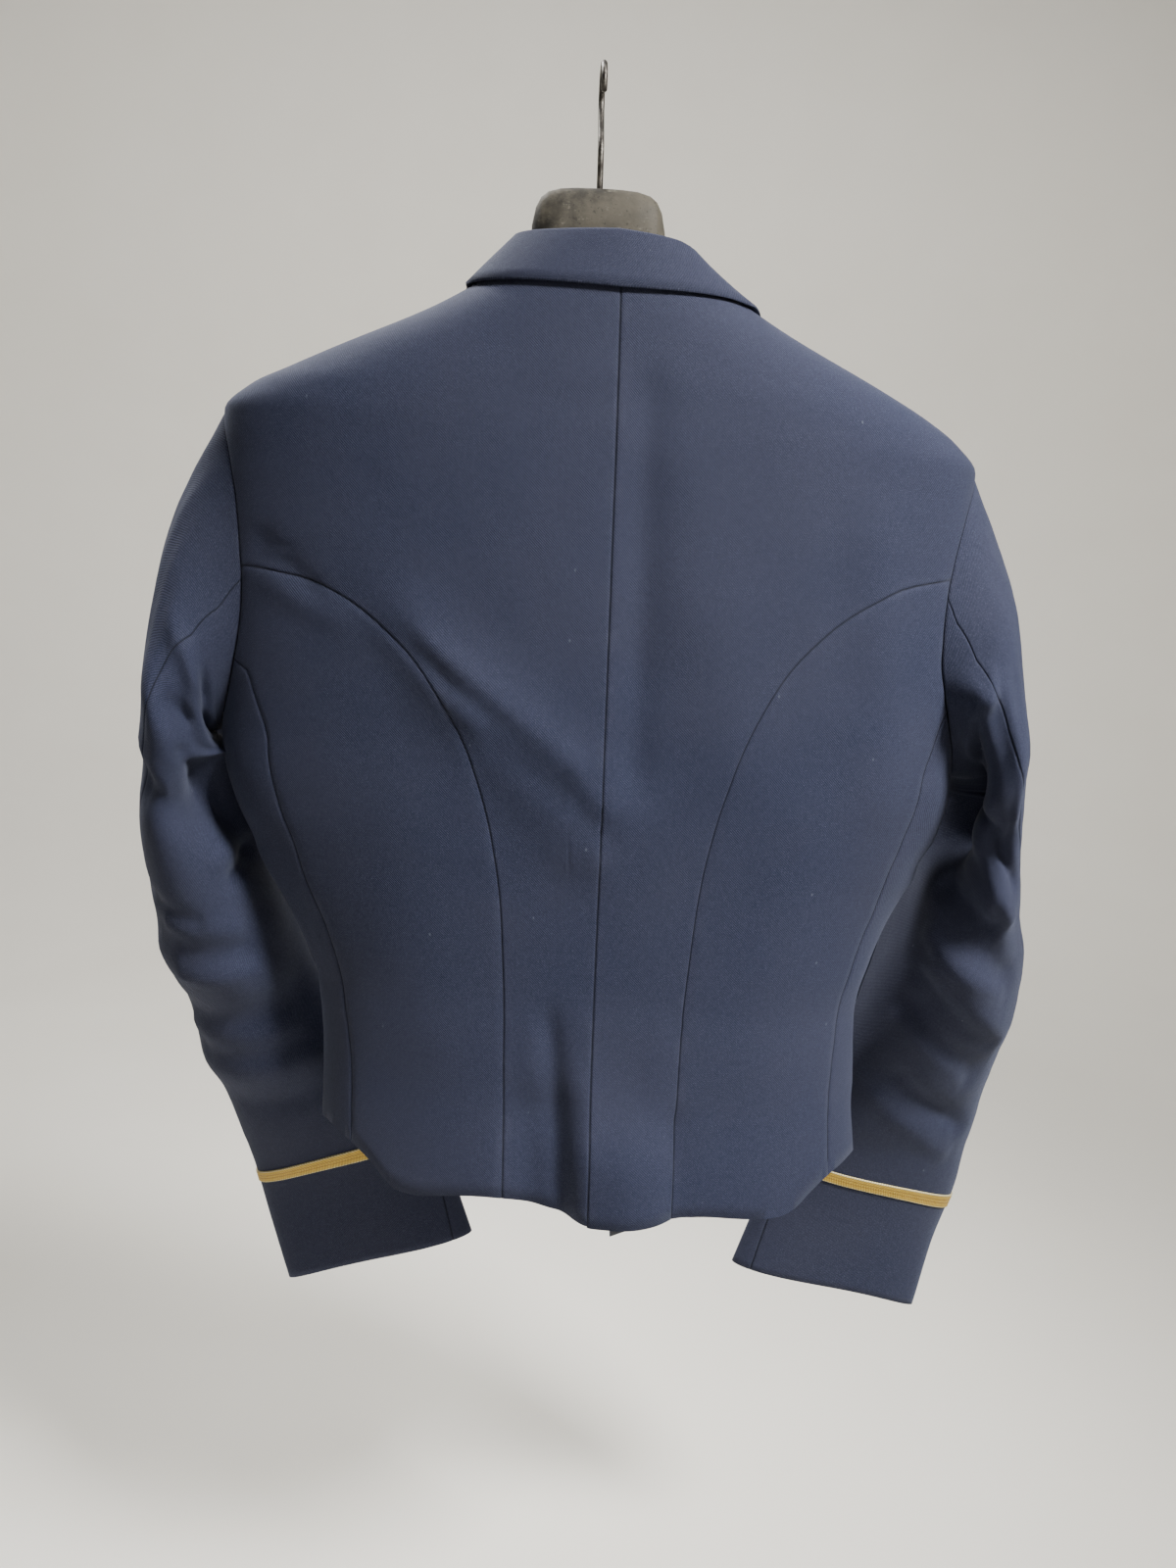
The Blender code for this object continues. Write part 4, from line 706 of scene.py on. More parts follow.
def seam_distance(grid, seams):
    """How far each point of a grid is from the nearest of its sides that carry a seam."""
    across, up = (running(np.linalg.norm(np.diff(grid, axis=axis), axis=-1), axis) for axis in (1, 0))
    lengths = dict(left=across, right=across[:, -1:] - across, bottom=up, top=up[-1:] - up)
    away = np.full(grid.shape[:2], FAR)
    for name in seams:
        away = np.minimum(away, lengths[name])
    return away


def body_patch(side, start, edges, seams):
    """(points, normals, cloth coordinates, distance to a seam) of a body panel between its bottom, top,
    left and right edges."""
    u = graded(len(edges[0]) - 1, "left" in seams, "right" in seams)
    v = graded(len(edges[2]) - 1, False, "top" in seams)
    edges = [resampled(path, places) for path, places in zip(edges, (u, u, v, v))]
    flat = [np.stack([reach_of(side, *path.T, start), path[:, 1]], axis=1) for path in edges]
    grid = coons(*flat, u, v)
    z = grid[..., 1]
    hoop = hoop_of(side, grid[..., 0], z, start)
    whole = slice(None)
    for where, path in zip(((0, whole), (-1, whole), (whole, 0), (whole, -1)), edges):
        hoop[where], z[where] = path.T
    points = body(side, hoop, z)
    cloth = np.stack([grid[..., 0] * side * (1 if start == 0 else -1), z], axis=-1)
    return points, body_normal(side, hoop, z), cloth, seam_distance(points, seams)


def wall(name, patches, materials, rounded=EDGE_ROUND):
    """One closed wall of cloth from grids that share edges: an outer face that dips at its seams, an inner
    face and a rounded rim."""
    kept, index, faces = [], {}, []
    for patch in patches:
        grid, normal = patch[:2]
        rows, columns = grid.shape[:2]
        ids = np.empty((rows, columns), int)
        for i, line in enumerate(np.round(grid, 3).tolist()):
            for j, key in enumerate(map(tuple, line)):
                if key not in index:
                    index[key] = len(kept)
                    kept.append([values[i, j] for values in patch])
                ids[i, j] = index[key]
        i, j = rows // 2 - 1, columns // 2 - 1
        flip = np.dot(np.cross(grid[i, j + 1] - grid[i, j], grid[i + 1, j] - grid[i, j]), normal[i, j]) < 0
        corners = [ids[:-1, :-1], ids[:-1, 1:], ids[1:, 1:], ids[1:, :-1]]
        quads = np.stack([c.ravel() for c in (corners[::-1] if flip else corners)], axis=1)
        faces += [face for face in quads.tolist() if len(set(face)) == 4]
    points, normals, cloth, dips = (np.array(values) for values in zip(*kept))
    used = {(f[k], f[(k + 1) % 4]) for f in faces for k in range(4)}
    border = [(a, b) for a, b in used if (b, a) not in used]
    after, before = dict(border), {b: a for a, b in border}
    outer = points - normals * (GROOVE * np.exp(-((dips / GROOVE_WIDTH) ** 2)))[:, None]
    inner = points - CLOTH * normals
    middle = {}
    for here in after:
        inward = [unit(np.cross(normals[here], unit(points[b] - points[a])))
                  for a, b in ((before[here], here), (here, after[here]))]
        way = (inward[0] + inward[1]) / max(LEAST_CORNER, 1 + np.dot(*inward))
        outer[here] += MEETING_GAP / 2 * way
        inner[here] += MEETING_GAP / 2 * way
        middle[here] = (outer[here] + inner[here]) / 2 - way * rounded
    count, rim_of = len(points), list(middle)
    order = {here: 2 * count + k for k, here in enumerate(rim_of)}
    skin = np.concatenate([outer, inner, list(middle.values())])
    flat, away = (np.concatenate([values, values, values[rim_of]]) for values in (cloth, dips))
    back = [[k + count for k in face[::-1]] for face in faces]
    rim = [[b, a, order[a], order[b]] for a, b in border]
    rim += [[order[b], order[a], a + count, b + count] for a, b in border]
    slots = [0] * len(faces) + [1] * len(back) + [0] * len(rim)
    return add_mesh(name, skin, faces + back + rim, materials, flat, away, slots)


def add_object(name, data):
    made = bpy.data.objects.new(name, data)
    bpy.context.scene.collection.objects.link(made)
    return made


def add_mesh(name, points, faces, materials, flat, away=None, slots=None, crease=62):
    """A piece from points in millimetres, with its cloth coordinates, in metres once they are stored, and
    how near each point is to a seam."""
    mesh = bpy.data.meshes.new(name)
    mesh.from_pydata((np.asarray(points) * MM).tolist(), [], [list(map(int, face)) for face in faces])
    for made in materials:
        mesh.materials.append(made)
    if slots:
        mesh.polygons.foreach_set("material_index", slots)
    corners = np.zeros(len(mesh.loops), int)
    mesh.loops.foreach_get("vertex_index", corners)
    layer = mesh.uv_layers.new(name="Cloth")
    layer.data.foreach_set("uv", (np.asarray(flat)[corners] * MM).ravel())
    if away is not None:
        mesh.attributes.new("seam", "FLOAT", "POINT").data.foreach_set("value", np.exp(-away / SEAM_FADE))
    mesh.update()
    mesh.shade_smooth()
    mesh.set_sharp_from_angle(angle=math.radians(crease))
    return add_object(name, mesh)


def build_back(side, materials):
    patch = body_patch(side, 0, back_edges(side), ("left", "right", "top"))
    return wall(f"cloth_back_{SIDE_NAME[side]}", [patch], materials)


def build_side_body(side, materials):
    left, right, top = curved_seam(side), side_seam(side), armhole_path(side, "curved", "side")
    bottom = hem_line(side, left[0, 0], right[0, 0], len(top))
    patch = body_patch(side, 0, (bottom, top, left, right), ("left", "right", "top"))
    return wall(f"cloth_side_body_{SIDE_NAME[side]}", [patch], materials)


def build_front(side, materials):
    """The front up to the side line, and the wing behind it that reaches the side seam."""
    underarm, seam, edge = underarm_line(side), side_seam(side), front_edge(side)
    right = np.concatenate([underarm, armhole_path(side, "base", "end")[1:]])
    bottom = hem_line(side, edge[0, 0], 1.0, SHOULDER_COLUMNS + 1)
    main = body_patch(side, 2, (bottom, shoulder_seam(side), edge, right), ("top",))
    points, normals, cloth, away = main
    below = ARMHOLE_BASE_Z + 1 - cloth[:, -1:, 1]       # on the side line, which carries no seam
    away = np.minimum(away, seam_distance(points, ("right",)) + np.clip(3 * below, 0, FAR))
    top = armhole_path(side, "side", "base")[::-1]
    bottom = hem_line(side, 1.0, seam[0, 0], len(top))
    wing = body_patch(side, 2, (bottom, top, underarm, seam), ("right", "top"))
    return wall(f"cloth_front_{SIDE_NAME[side]}", [(points, normals, cloth, away), wing], materials)


def sleeve_turns(side, piece, t, places):
    """The turns of a sleeve piece's columns at t: rows by columns, between its two seams."""
    if piece == "under":
        start = armhole_turns(side, "hind", "fore")
    else:
        onward = 1 + armhole_turns(side, "tip", "hind")[1:]
        start = np.concatenate([armhole_turns(side, "fore", "end"), onward])
    share = np.interp(places, np.linspace(0, 1, len(start)), (start - start[0]) / (start[-1] - start[0]))
    low, knots, fore = np.maximum(t, CAP_T), np.array(HIND_SEAM[side]), ARMHOLE_SEAMS[side]["fore"]
    hind = np.where(t < knots[-1, 0], np.interp(t, *knots.T), SLEEVE[side]("hind", low))
    fore = fore + (SLEEVE[side]("fore", low) - fore) * rising(t, 0, CAP_T)
    first, last = (hind, fore) if piece == "under" else (fore, 1 + hind)
    return first[:, None] + (last - first)[:, None] * share[None, :]


def straightened(turn, t):
    """t moved up a little at the back of the cuff, where the lace and the cuff's edge hang straight."""
    rise = np.exp(-(((np.mod(turn + 0.5, 1.0) - 0.5) - CUFF_RISE_TURN) / CUFF_RISE_WIDTH) ** 2)
    begins = rising(t, *CUFF_RISE_T)
    return t - CUFF_RISE * rise * begins * begins * (3 - 2 * begins)


def sleeve_width(side):
    """The mean way round a sleeve."""
    points = sleeve(side, np.linspace(0, 1, SLEEVE_STEPS), MEAN_WIDTH_T)
    return np.linalg.norm(np.diff(points, axis=0), axis=1).sum()


def build_sleeve_piece(side, piece, materials):
    t = graded(SLEEVE_ROWS, True, False)
    turns = sleeve_turns(side, piece, t, graded(SLEEVE_PIECE_COLUMNS[piece], True, True))
    t = np.broadcast_to(t[:, None], turns.shape)
    placed = straightened(turns, t)
    points, normals = sleeve(side, turns, placed), sleeve_normal(side, turns, placed)
    flat = np.stack([turns * sleeve_width(side) * side, -t * SLEEVE_LENGTH], axis=-1)
    away = seam_distance(points, ("left", "right", "bottom"))
    return wall(f"cloth_{piece}_sleeve_{SIDE_NAME[side]}", [(points, normals, flat, away)], materials)


def ring_quads(rows, count, closed=False):
    """Quads from each ring of count points to the next, and from the last to the first if closed."""
    quads = []
    for k in range(rows if closed else rows - 1):
        here, there = k * count, (k + 1) % rows * count
        for j in range(count):
            onward = (j + 1) % count
            quads.append([here + onward, here + j, there + j, there + onward])
    return quads


def lace_height(p):
    """The lace's thickness across its width: two corded edges, three ribs and the grooves between."""
    cord = sum(CORD_HEIGHT * np.exp(-((p - at) / CORD_WIDTH) ** 2) for at in CORD_PLACES)
    ribs = RIB_HEIGHT * np.abs(np.sin(math.pi * rising(p, *RIB_SPAN) * RIBS)) ** RIB_ROUND
    return LACE_THIN + cord + ribs


def build_braid(side, lace):
    """A closed band of lace round the sleeve, with its own profile, on the sleeve's cloth."""
    p = np.linspace(0, 1, LACE_ROWS)
    turn = np.linspace(0, 1, LACE_COLUMNS + 1)[:-1]
    turns, t = np.broadcast_arrays(turn, (BRAID_HIGH_T + (BRAID_LOW_T - BRAID_HIGH_T) * p)[:, None])
    t = straightened(turns, t)
    skin, normals = sleeve(side, turns, t), sleeve_normal(side, turns, t)
    round_about = sleeve_width(side)
    picks = np.sin(TURN * turn * round(round_about / LACE_PICK))
    height = lace_height(p)[:, None] + PICK_HEIGHT * picks
    height[0] = height[-1] = LACE_EDGE
    outer = skin + (LACE_LIFT + height)[..., None] * normals
    inner = skin + LACE_UNDER * normals
    rings = [*outer, inner[-1], inner[0]]
    faces = ring_quads(len(rings), LACE_COLUMNS, closed=True)
    if side == RIGHT:
        faces = [quad[::-1] for quad in faces]
    flat = [(at * round_about, across * LACE_WIDE) for across in [*p, 1.0, 0.0] for at in turn]
    return add_mesh(f"lace_{SIDE_NAME[side]}", np.concatenate(rings), faces, [lace], flat, crease=80)


def turned_over(name, stations, materials):
    """A strip of cloth sewn to an edge and turned over outside it."""
    rows = []
    for edge, away, out, stand, fall in stations:
        line = [edge + away * stand * k for k in np.linspace(0, 1, STAND_ROWS)]
        centre = line[-1] + out * FOLD_RADIUS
        for turn in np.linspace(0, math.pi, FOLD_ROWS + 2)[1:-1]:
            line.append(centre + FOLD_RADIUS * (away * math.sin(turn) - out * math.cos(turn)))
        rows.append(line + [centre + out * FOLD_RADIUS, *fall])
    grid = np.array(rows)
    normals = unit(np.cross(np.gradient(grid, axis=1), np.gradient(grid, axis=0)))
    middle = len(stations) // 2
    if np.dot(normals[middle, -2], stations[middle][2]) < 0:
        normals = -normals
    runs = running(np.linalg.norm(np.diff(grid[:, -1], axis=0), axis=-1))
    drops = running(np.linalg.norm(np.diff(grid, axis=1), axis=-1))
    flat = np.stack([np.broadcast_to(runs[:, None], drops.shape), -drops], axis=-1)
    patch = (grid + normals * CLOTH / 2, normals, flat, seam_distance(grid, ()))
    return wall(name, [patch], materials, rounded=FOLDED_ROUND)


def build_collar(materials):
    return turned_over("cloth_collar", collar_stations(LEFT)[::-1] + collar_stations(RIGHT)[1:], materials)


def build_lapel(side, materials):
    return turned_over(f"cloth_lapel_{SIDE_NAME[side]}", lapel_stations(side), materials)


def tube_mesh(name, rings, material, round_about, apart=4.0):
    """A tube through rings of points, capped at both ends, with its length round and the rings' distance
    for the cloth coordinates."""
    count, total = len(rings[0]), len(rings)
    last = [(total - 1) * count + j for j in reversed(range(count))]
    faces = [list(range(count)), *ring_quads(total, count), last]
    flat = [(j / count * round_about, apart * k) for k in range(total) for j in range(count)]
    return add_mesh(name, np.concatenate(rings), faces, [material], flat, crease=40)


def build_hanger(plastic):
    """The solid's own stations, rounded off with more between them."""
    stations = hanger_stations()
    stations = resampled(stations, np.linspace(0, 1, (len(stations) - 1) * HANGER_FINE + 1))
    angles = TURN * np.arange(HANGER_SIDES) / HANGER_SIDES
    across, up = (power(way(angles), 2 / HANGER_SQUARE) for way in (np.cos, np.sin))
    rings = [np.stack([np.full(len(angles), x), y + half_y * across, z + half_z * up], axis=1)
             for x, y, z, half_y, half_z in stations]
    return tube_mesh("moulded_hanger", rings, plastic, round_about=120.0)


def build_hook(steel):
    """The same bent wire as the solid's, smoother and with a round tip."""
    middle = HOOK_RADIUS + WIRE / 2
    angles = np.radians(np.linspace(HOOK_TIP_ANGLE, HOOK_BACK_ANGLE, HOOK_STEPS))
    arc = np.stack([middle * np.cos(angles), WIRE / 2 - middle + middle * np.sin(angles)], axis=1)
    bend = np.array([arc[-1], *HOOK_BEND])
    for _ in range(HOOK_CUTS):
        cut = [np.stack([0.75 * a + 0.25 * b, 0.25 * a + 0.75 * b]) for a, b in zip(bend, bend[1:])]
        bend = np.concatenate([bend[:1], *cut, bend[-1:]])
    path = np.concatenate([arc, bend[1:], [HOOK_FOOT]])
    apart = np.linalg.norm(np.diff(path, axis=0), axis=1) > WIRE / 70
    path = path[np.concatenate([[True], apart])]
    ways = unit(np.gradient(path, axis=0))
    across = np.stack([-ways[:, 1], ways[:, 0]], axis=1)
    radii = np.concatenate([[WIRE / 2 * share for _, share in HOOK_CAP], np.full(len(path), WIRE / 2)])
    path = np.concatenate([[path[0] - ways[0] * k for k, _ in HOOK_CAP], path])
    across = np.concatenate([[across[0]] * len(HOOK_CAP), across])
    angles = TURN * np.arange(WIRE_SIDES) / WIRE_SIDES
    cos, sin = np.cos(angles), np.sin(angles)
    rings = [np.stack([-radius * sin, y + ny * radius * cos, z + nz * radius * cos], axis=1)
             for (y, z), (ny, nz), radius in zip(path, across, radii)]
    return tube_mesh("wire_hook", rings, steel, round_about=11.0)


class Nodes:
    """A short way to write a material's nodes."""

    def __init__(self, name, settings):
        self.material = bpy.data.materials.new(name)
        self.material.use_nodes = True
        self.tree = self.material.node_tree
        self.shader = self.tree.nodes["Principled BSDF"]
        for key, value in settings.items():
            self.shader.inputs[key].default_value = value
        self.uv = self.add("ShaderNodeUVMap", settings={"uv_map": "Cloth"})
        self.place = self.add("ShaderNodeTexCoord", out="Object")

    def put(self, socket, value):
        if isinstance(value, bpy.types.NodeSocket):
            self.tree.links.new(value, socket)
        else:
            socket.default_value = value

    def add(self, kind, *values, out=0, settings=None, **inputs):
        """A node, with its first inputs by place, others by name, and the output asked for."""
        made = self.tree.nodes.new(kind)
        for key, value in (settings or {}).items():
            setattr(made, key, value)
        for key, value in [*enumerate(values), *inputs.items()]:
            self.put(made.inputs[key], value)
        return made.outputs[out]

    def maths(self, operation, *values):
        return self.add("ShaderNodeMath", *values, settings={"operation": operation})

    def mix(self, factor, a, b):
        made = self.tree.nodes.new("ShaderNodeMix")
        made.data_type = "RGBA"
        for k, value in ((0, factor), (6, a), (7, b)):
            self.put(made.inputs[k], (*value, 1.0) if isinstance(value, tuple) else value)
        return made.outputs[2]

    def tint(self, colour, mask, strength, other):
        """The colour, moved by this share towards another where the mask is 1."""
        return self.mix(self.maths("MULTIPLY", mask, strength), colour, other)

    def total(self, *terms):
        """The sum of values, each with its factor."""
        total = None
        for value, factor in terms:
            term = self.maths("MULTIPLY", value, factor)
            total = self.maths("ADD", total, term) if total else term
        return total

    def scaled(self, coordinates, x, y, z=1.0):
        return self.add("ShaderNodeMapping", Vector=coordinates, Scale=(x, y, z))

    def noise(self, coordinates, scale, detail=2.0, rough=0.5):
        return self.add("ShaderNodeTexNoise", Vector=coordinates, Scale=scale, Detail=detail, Roughness=rough)

    def waves(self, coordinates, direction, scale, distortion, detail=2.0):
        return self.add("ShaderNodeTexWave", out="Fac", settings={"bands_direction": direction},
                        Vector=coordinates, Scale=scale, Distortion=distortion, Detail=detail)

    def ramp(self, value, low, high):
        """0 below low, 1 above high, smooth between."""
        settings = {"interpolation_type": "SMOOTHSTEP"}
        return self.add("ShaderNodeMapRange", value, low, high, 0.0, 1.0, settings=settings)

    def roughness(self, value, times, plus):
        self.put(self.shader.inputs["Roughness"], self.maths("MULTIPLY_ADD", value, times, plus))

    def finish(self, colour, *bumps):
        """The material, with this colour and bumps one on another, each (strength, distance, height)."""
        self.put(self.shader.inputs["Base Color"], colour)
        below = {}
        for strength, distance, height in bumps:
            normal = self.add("ShaderNodeBump", Strength=strength, Distance=distance, Height=height, **below)
            below = {"Normal": normal}
        for name, value in below.items():
            self.put(self.shader.inputs[name], value)
        return self.material


def wool_material():
    """Fine worsted twill: diagonal wales, mixed yarns, slight wear at the seams and painted shade in the seam
    grooves.
    """
    n = Nodes("worsted_twill", {
        "Roughness": 0.82, "Specular IOR Level": 0.18,
        "Sheen Weight": 0.10, "Sheen Roughness": 0.45, "Sheen Tint": (0.66, 0.74, 1.0, 1.0)})
    wale = n.waves(n.scaled(n.uv, -1.0, 1.0), "DIAGONAL", 415.0, 0.6, 1.0)
    pick = n.waves(n.uv, "Y", 520.0, 0.8, 1.0)
    yarn = n.noise(n.scaled(n.uv, 1.0, 0.35), 2600.0, 1.0)
    weave = n.total((wale, 0.62), (pick, 0.2), (yarn, 0.35))
    colour = n.mix(n.ramp(weave, 0.15, 1.05), (0.0075, 0.0095, 0.026), (0.0330, 0.0400, 0.0810))
    fleck = n.ramp(n.noise(n.scaled(n.uv, 1.0, 0.6), 420.0, 3.0, 0.65), 0.34, 0.68)
    colour = n.mix(0.17, colour, n.mix(fleck, (0.011, 0.013, 0.028), (0.046, 0.051, 0.088)))
    melange = n.noise(n.uv, 1500.0, 2.0, 0.7)
    slub = n.noise(n.scaled(n.uv, 0.12, 1.0), 900.0, 2.0)
    cloud, bloom = n.noise(n.place, 7.0, 3.0, 0.55), n.noise(n.place, 28.0, 3.0, 0.6)
    seam = n.add("ShaderNodeAttribute", out="Fac", settings={"attribute_name": "seam"})
    rubbed = n.maths("MULTIPLY", n.ramp(seam, 0.15, 0.5), n.ramp(n.noise(n.place, 60.0, 3.0), 0.45, 0.7))
    specks = n.add("ShaderNodeTexVoronoi", Vector=n.scaled(n.place, 1.0, 1.0, 0.6), Scale=42.0)
    for mask, strength, other in (
        (n.ramp(melange, 0.52, 0.75), 1.0, (0.082, 0.090, 0.136)),
        (n.ramp(slub, 0.50, 0.78), 0.22, (0.017, 0.020, 0.040)),
        (n.ramp(cloud, 0.35, 0.70), 0.20, (0.058, 0.060, 0.088)),
        (n.ramp(bloom, 0.5, 0.8), 0.10, (0.028, 0.029, 0.052)),
        # painted shade: the cloth darkens almost to black in the last millimetre before a seam, where its
        # groove is shaded
        (n.ramp(seam, 0.80, 0.95), 0.72, (0.005, 0.006, 0.012)),
        (rubbed, 0.07, (0.095, 0.102, 0.145)),
        (n.ramp(specks, 0.035, 0.012), 0.30, (0.22, 0.24, 0.28)),     # lint
    ):
        colour = n.tint(colour, mask, strength, other)
    n.roughness(bloom, 0.16, 0.74)
    return n.finish(colour, (0.6, 0.0003, weave), (0.18, 0.0011, n.noise(n.place, 170.0, 3.0, 0.6)))


def lining_material():
    """A plain dark lining, with its fine ribs and a soft shine."""
    n = Nodes("plain_lining", {"Roughness": 0.42, "Specular IOR Level": 0.35, "Sheen Weight": 0.08})
    rib = n.waves(n.uv, "X", 420.0, 0.5)
    colour = n.mix(rib, (0.012, 0.015, 0.028), (0.020, 0.024, 0.042))
    colour = n.tint(colour, n.noise(n.place, 14.0, 3.0), 0.4, (0.030, 0.034, 0.052))
    return n.finish(colour, (0.3, 0.0002, rib))


def lace_material():
    """Gold wire lace: pale corded edges, herringbone gold between, darker silk in the grooves."""
    n = Nodes("gold_wire_lace", {"Roughness": 0.42, "Metallic": 0.35, "Specular IOR Level": 0.5})
    along, across = (n.add("ShaderNodeSeparateXYZ", Vector=n.uv, out=axis) for axis in "XY")
    middle = n.maths("ABSOLUTE", n.maths("SUBTRACT", n.maths("MULTIPLY", across, 100.0), 0.5))
    slant = n.total((along, 4200.0), (middle, 16.0))
    thread = n.maths("MULTIPLY_ADD", n.maths("SINE", slant), 0.5, 0.5)
    speck = n.noise(n.uv, 1400.0, 2.0, 0.7)
    gold = n.mix(n.maths("MULTIPLY_ADD", thread, 0.6, 0.5), (0.24, 0.140, 0.014), (0.56, 0.37, 0.050))
    gold = n.mix(n.ramp(speck, 0.55, 0.78), gold, (0.82, 0.60, 0.20))
    groove = n.ramp(n.maths("ABSOLUTE", n.maths("SUBTRACT", middle, 0.125)), 0.045, 0.012)
    gold = n.tint(gold, groove, 0.75, (0.24, 0.105, 0.014))
    cord = n.mix(thread, (0.46, 0.38, 0.17), (0.76, 0.68, 0.42))
    n.roughness(n.noise(n.place, 90.0, 3.0), 0.3, 0.30)
    height = n.total((thread, 1.0), (speck, 0.6))
    return n.finish(n.mix(n.ramp(middle, 0.405, 0.435), gold, cord), (0.7, 0.00025, height))


def plastic_material():
    """Worn moulded plastic: mottled grey, dark grime in random patches and pale scuffs."""
    n = Nodes("worn_plastic_shell", {"Roughness": 0.6, "Specular IOR Level": 0.25})
    mottle, cloud = n.noise(n.place, 55.0, 5.0, 0.65), n.noise(n.place, 18.0, 3.0, 0.5)
    scuff = n.noise(n.scaled(n.place, 1.0, 1.0, 2.2), 150.0, 5.0, 0.75)
    speck = n.noise(n.place, 420.0, 2.0, 0.6)
    colour = n.mix(n.ramp(mottle, 0.36, 0.66), (0.012, 0.011, 0.009), (0.078, 0.070, 0.055))
    colour = n.tint(colour, n.ramp(cloud, 0.4, 0.65), 0.55, (0.100, 0.089, 0.068))
    colour = n.tint(colour, n.ramp(scuff, 0.58, 0.74), 0.45, (0.27, 0.255, 0.205))
    colour = n.tint(colour, n.ramp(speck, 0.60, 0.70), 0.6, (0.020, 0.018, 0.015))
    n.roughness(mottle, 0.4, 0.42)
    return n.finish(colour, (0.35, 0.0012, n.total((mottle, 0.7), (scuff, 0.3))))


def steel_material():
    """Dull steel wire, a little tarnished."""
    n = Nodes("dull_steel", {"Roughness": 0.38, "Metallic": 0.9})
    spot = n.noise(n.place, 260.0, 4.0, 0.7)
    n.roughness(spot, 0.35, 0.25)
    colour = n.mix(n.ramp(spot, 0.4, 0.65), (0.045, 0.040, 0.036), (0.150, 0.140, 0.125))
    return n.finish(colour, (0.25, 0.0003, spot))


def dress(piece, node):
    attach(piece, "root")
    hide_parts(node)


def build_jacket():
    wool = wool_material()
    cloth, both, lace = [wool, lining_material()], [wool, wool], lace_material()
    dress(build_hanger(plastic_material()), "hanger")
    dress(build_hook(steel_material()), "hook")
    for side, name in SIDE_NAME.items():
        dress(build_back(side, cloth), f"back_{name}")
        dress(build_side_body(side, cloth), f"side_body_{name}")
        dress(build_front(side, cloth), f"front_{name}")
        dress(build_lapel(side, both), f"lapel_{name}")
        dress(build_sleeve_piece(side, "top", cloth), f"top_sleeve_{name}")
        dress(build_sleeve_piece(side, "under", cloth), f"under_sleeve_{name}")
        dress(build_braid(side, lace), f"braid_{name}")
    dress(build_collar(both), "collar")


# The studio in metres: its floor, the flat part's radius, the turn up into the walls, and the walls.
FLOOR_Z, FLOOR_RADIUS, FLOOR_BEND = -1.15, 2.0, 1.6
WALL_RADIUS, WALL_HEIGHTS = 3.6, (2.4, 3.6)
ROOM_SIDES, BEND_START, BEND_STEPS = 72, 0.08, 14


def build_room():
    """A pale floor that turns up into pale walls all round."""
    n = Nodes("pale_paint", {"Roughness": 0.9, "Specular IOR Level": 0.1})
    n.finish(n.mix(n.noise(n.place, 5.0, 3.0), (0.76, 0.735, 0.68), (0.80, 0.78, 0.73)))
    profile = [(FLOOR_RADIUS / 2, 0.0), (FLOOR_RADIUS, 0.0)]
    for a in np.linspace(BEND_START, math.pi / 2, BEND_STEPS):
        profile.append((FLOOR_RADIUS + FLOOR_BEND * math.sin(a), FLOOR_BEND - FLOOR_BEND * math.cos(a)))
    profile += [(WALL_RADIUS, height) for height in WALL_HEIGHTS]
    angles = TURN * np.arange(ROOM_SIDES) / ROOM_SIDES
    points = [(radius * math.cos(a), radius * math.sin(a), FLOOR_Z + height)
              for radius, height in profile for a in angles] + [(0.0, 0.0, FLOOR_Z)]
    faces = [[len(points) - 1, k, (k + 1) % ROOM_SIDES] for k in range(ROOM_SIDES)]
    faces += ring_quads(len(profile), ROOM_SIDES)
    mesh = bpy.data.meshes.new("studio")
    mesh.from_pydata(points, [], faces)
    mesh.materials.append(n.material)
    mesh.shade_smooth()
    add_object("studio", mesh)


WORLD_COLOUR, WORLD_STRENGTH = (0.86, 0.88, 0.92, 1.0), 0.11
MIDDLE, RIGHT_BACK = (0.0, 0.0, -0.45), (-0.13, 0.0, -0.46)
WARM, COOL = (1.0, 0.985, 0.955), (0.96, 0.98, 1.0)
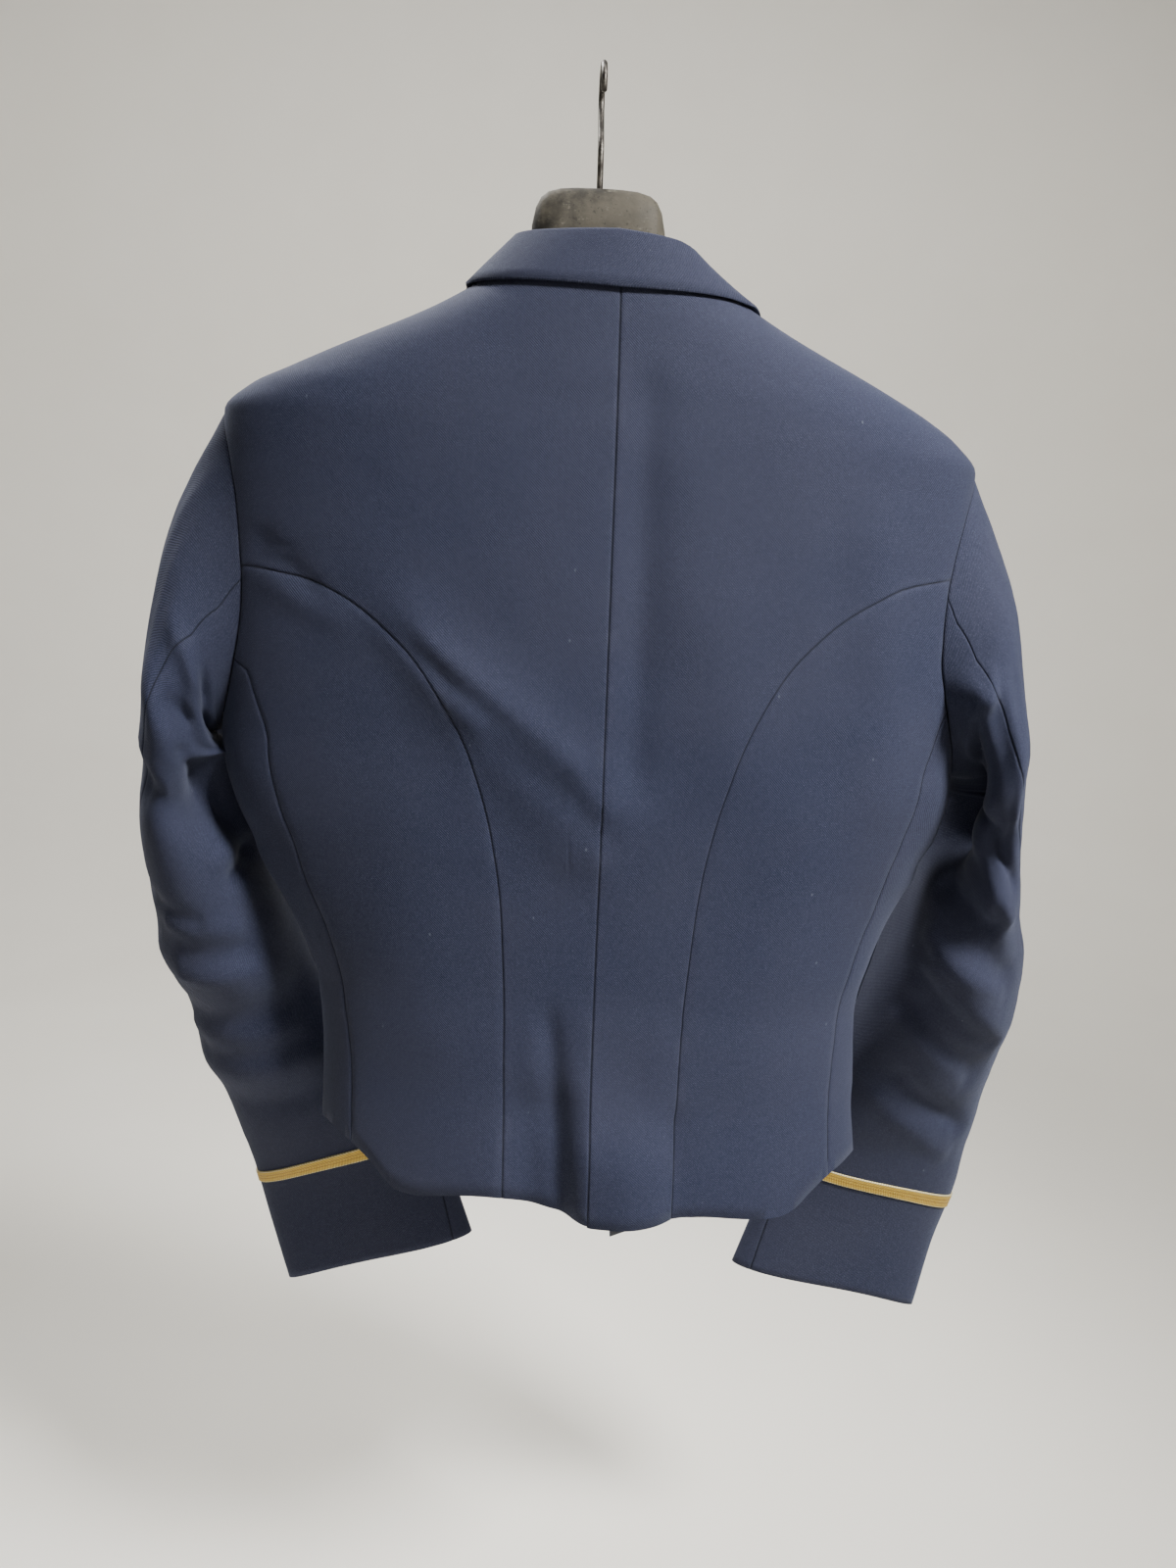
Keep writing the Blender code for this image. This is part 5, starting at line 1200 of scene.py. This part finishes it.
# Area lights: place, aim, size, watts, colour, and spread. A narrow spread keeps a light off the walls.
LIGHTS = {
    "key": ((-1.35, 1.25, 1.4), RIGHT_BACK, 0.6, 9.8, WARM, 0.70),
    "fill": ((1.7, 1.5, 0.7), MIDDLE, 1.4, 0.8, COOL, math.pi),
    "top": ((0.3, 0.9, 1.9), MIDDLE, 1.1, 2.0, WARM, math.pi),
    "front_key": ((1.2, -1.2, 1.8), MIDDLE, 0.8, 9.5, WARM, 0.90),
    "front_fill": ((-1.6, -1.6, 0.5), MIDDLE, 1.6, 3.0, COOL, math.pi),
    "backdrop": ((0.0, -0.7, 2.3), (0.0, -3.0, -0.6), 1.6, 62.0, WARM, 2.0),
    "front_backdrop": ((0.0, 1.2, 2.3), (0.0, 3.2, -0.2), 1.6, 16.0, WARM, 1.6),
}


def build_lights():
    world = bpy.data.worlds.new("studio_world")
    world.use_nodes = True
    background = world.node_tree.nodes["Background"]
    background.inputs["Color"].default_value = WORLD_COLOUR
    background.inputs["Strength"].default_value = WORLD_STRENGTH
    bpy.context.scene.world = world
    for name, (at, aim, size, watts, colour, spread) in LIGHTS.items():
        light = bpy.data.lights.new(name, "AREA")
        light.size, light.energy, light.color, light.spread = size, watts, colour, spread
        made = add_object(name, light)
        made.location = at
        made.rotation_mode = "QUATERNION"
        made.rotation_quaternion = Vector(np.subtract(aim, at)).to_track_quat("-Z", "Y")


# The camera as worked out from the photograph: its place, angles and focal length in pixels.
CAMERA_AT = (0.0325, 0.7189, -0.2802)
CAMERA_YAW, CAMERA_PITCH, CAMERA_ROLL = 3.0, 10.0, 2.0
FOCAL_PIXELS, IMAGE_HEIGHT = 1202.0, 1600.0
SENSOR = 36.0


def build_camera():
    yaw, pitch, roll = (math.radians(a) for a in (CAMERA_YAW, CAMERA_PITCH, CAMERA_ROLL))
    ahead = np.array([-math.sin(yaw) * math.cos(pitch), -math.cos(yaw) * math.cos(pitch), -math.sin(pitch)])
    level = np.array([-math.cos(yaw), math.sin(yaw), 0.0])
    upright = np.cross(level, ahead)
    right = math.cos(roll) * level + math.sin(roll) * upright
    up = -math.sin(roll) * level + math.cos(roll) * upright
    camera = bpy.data.cameras.new("camera")
    camera.sensor_width = SENSOR
    camera.lens = SENSOR * FOCAL_PIXELS / IMAGE_HEIGHT
    made = add_object("camera", camera)
    turn = Matrix([[right[k], up[k], -ahead[k]] for k in range(3)])
    made.matrix_world = Matrix.Translation(CAMERA_AT) @ turn.to_4x4()
    bpy.context.scene.camera = made


build_jacket()
build_room()
build_lights()
build_camera()
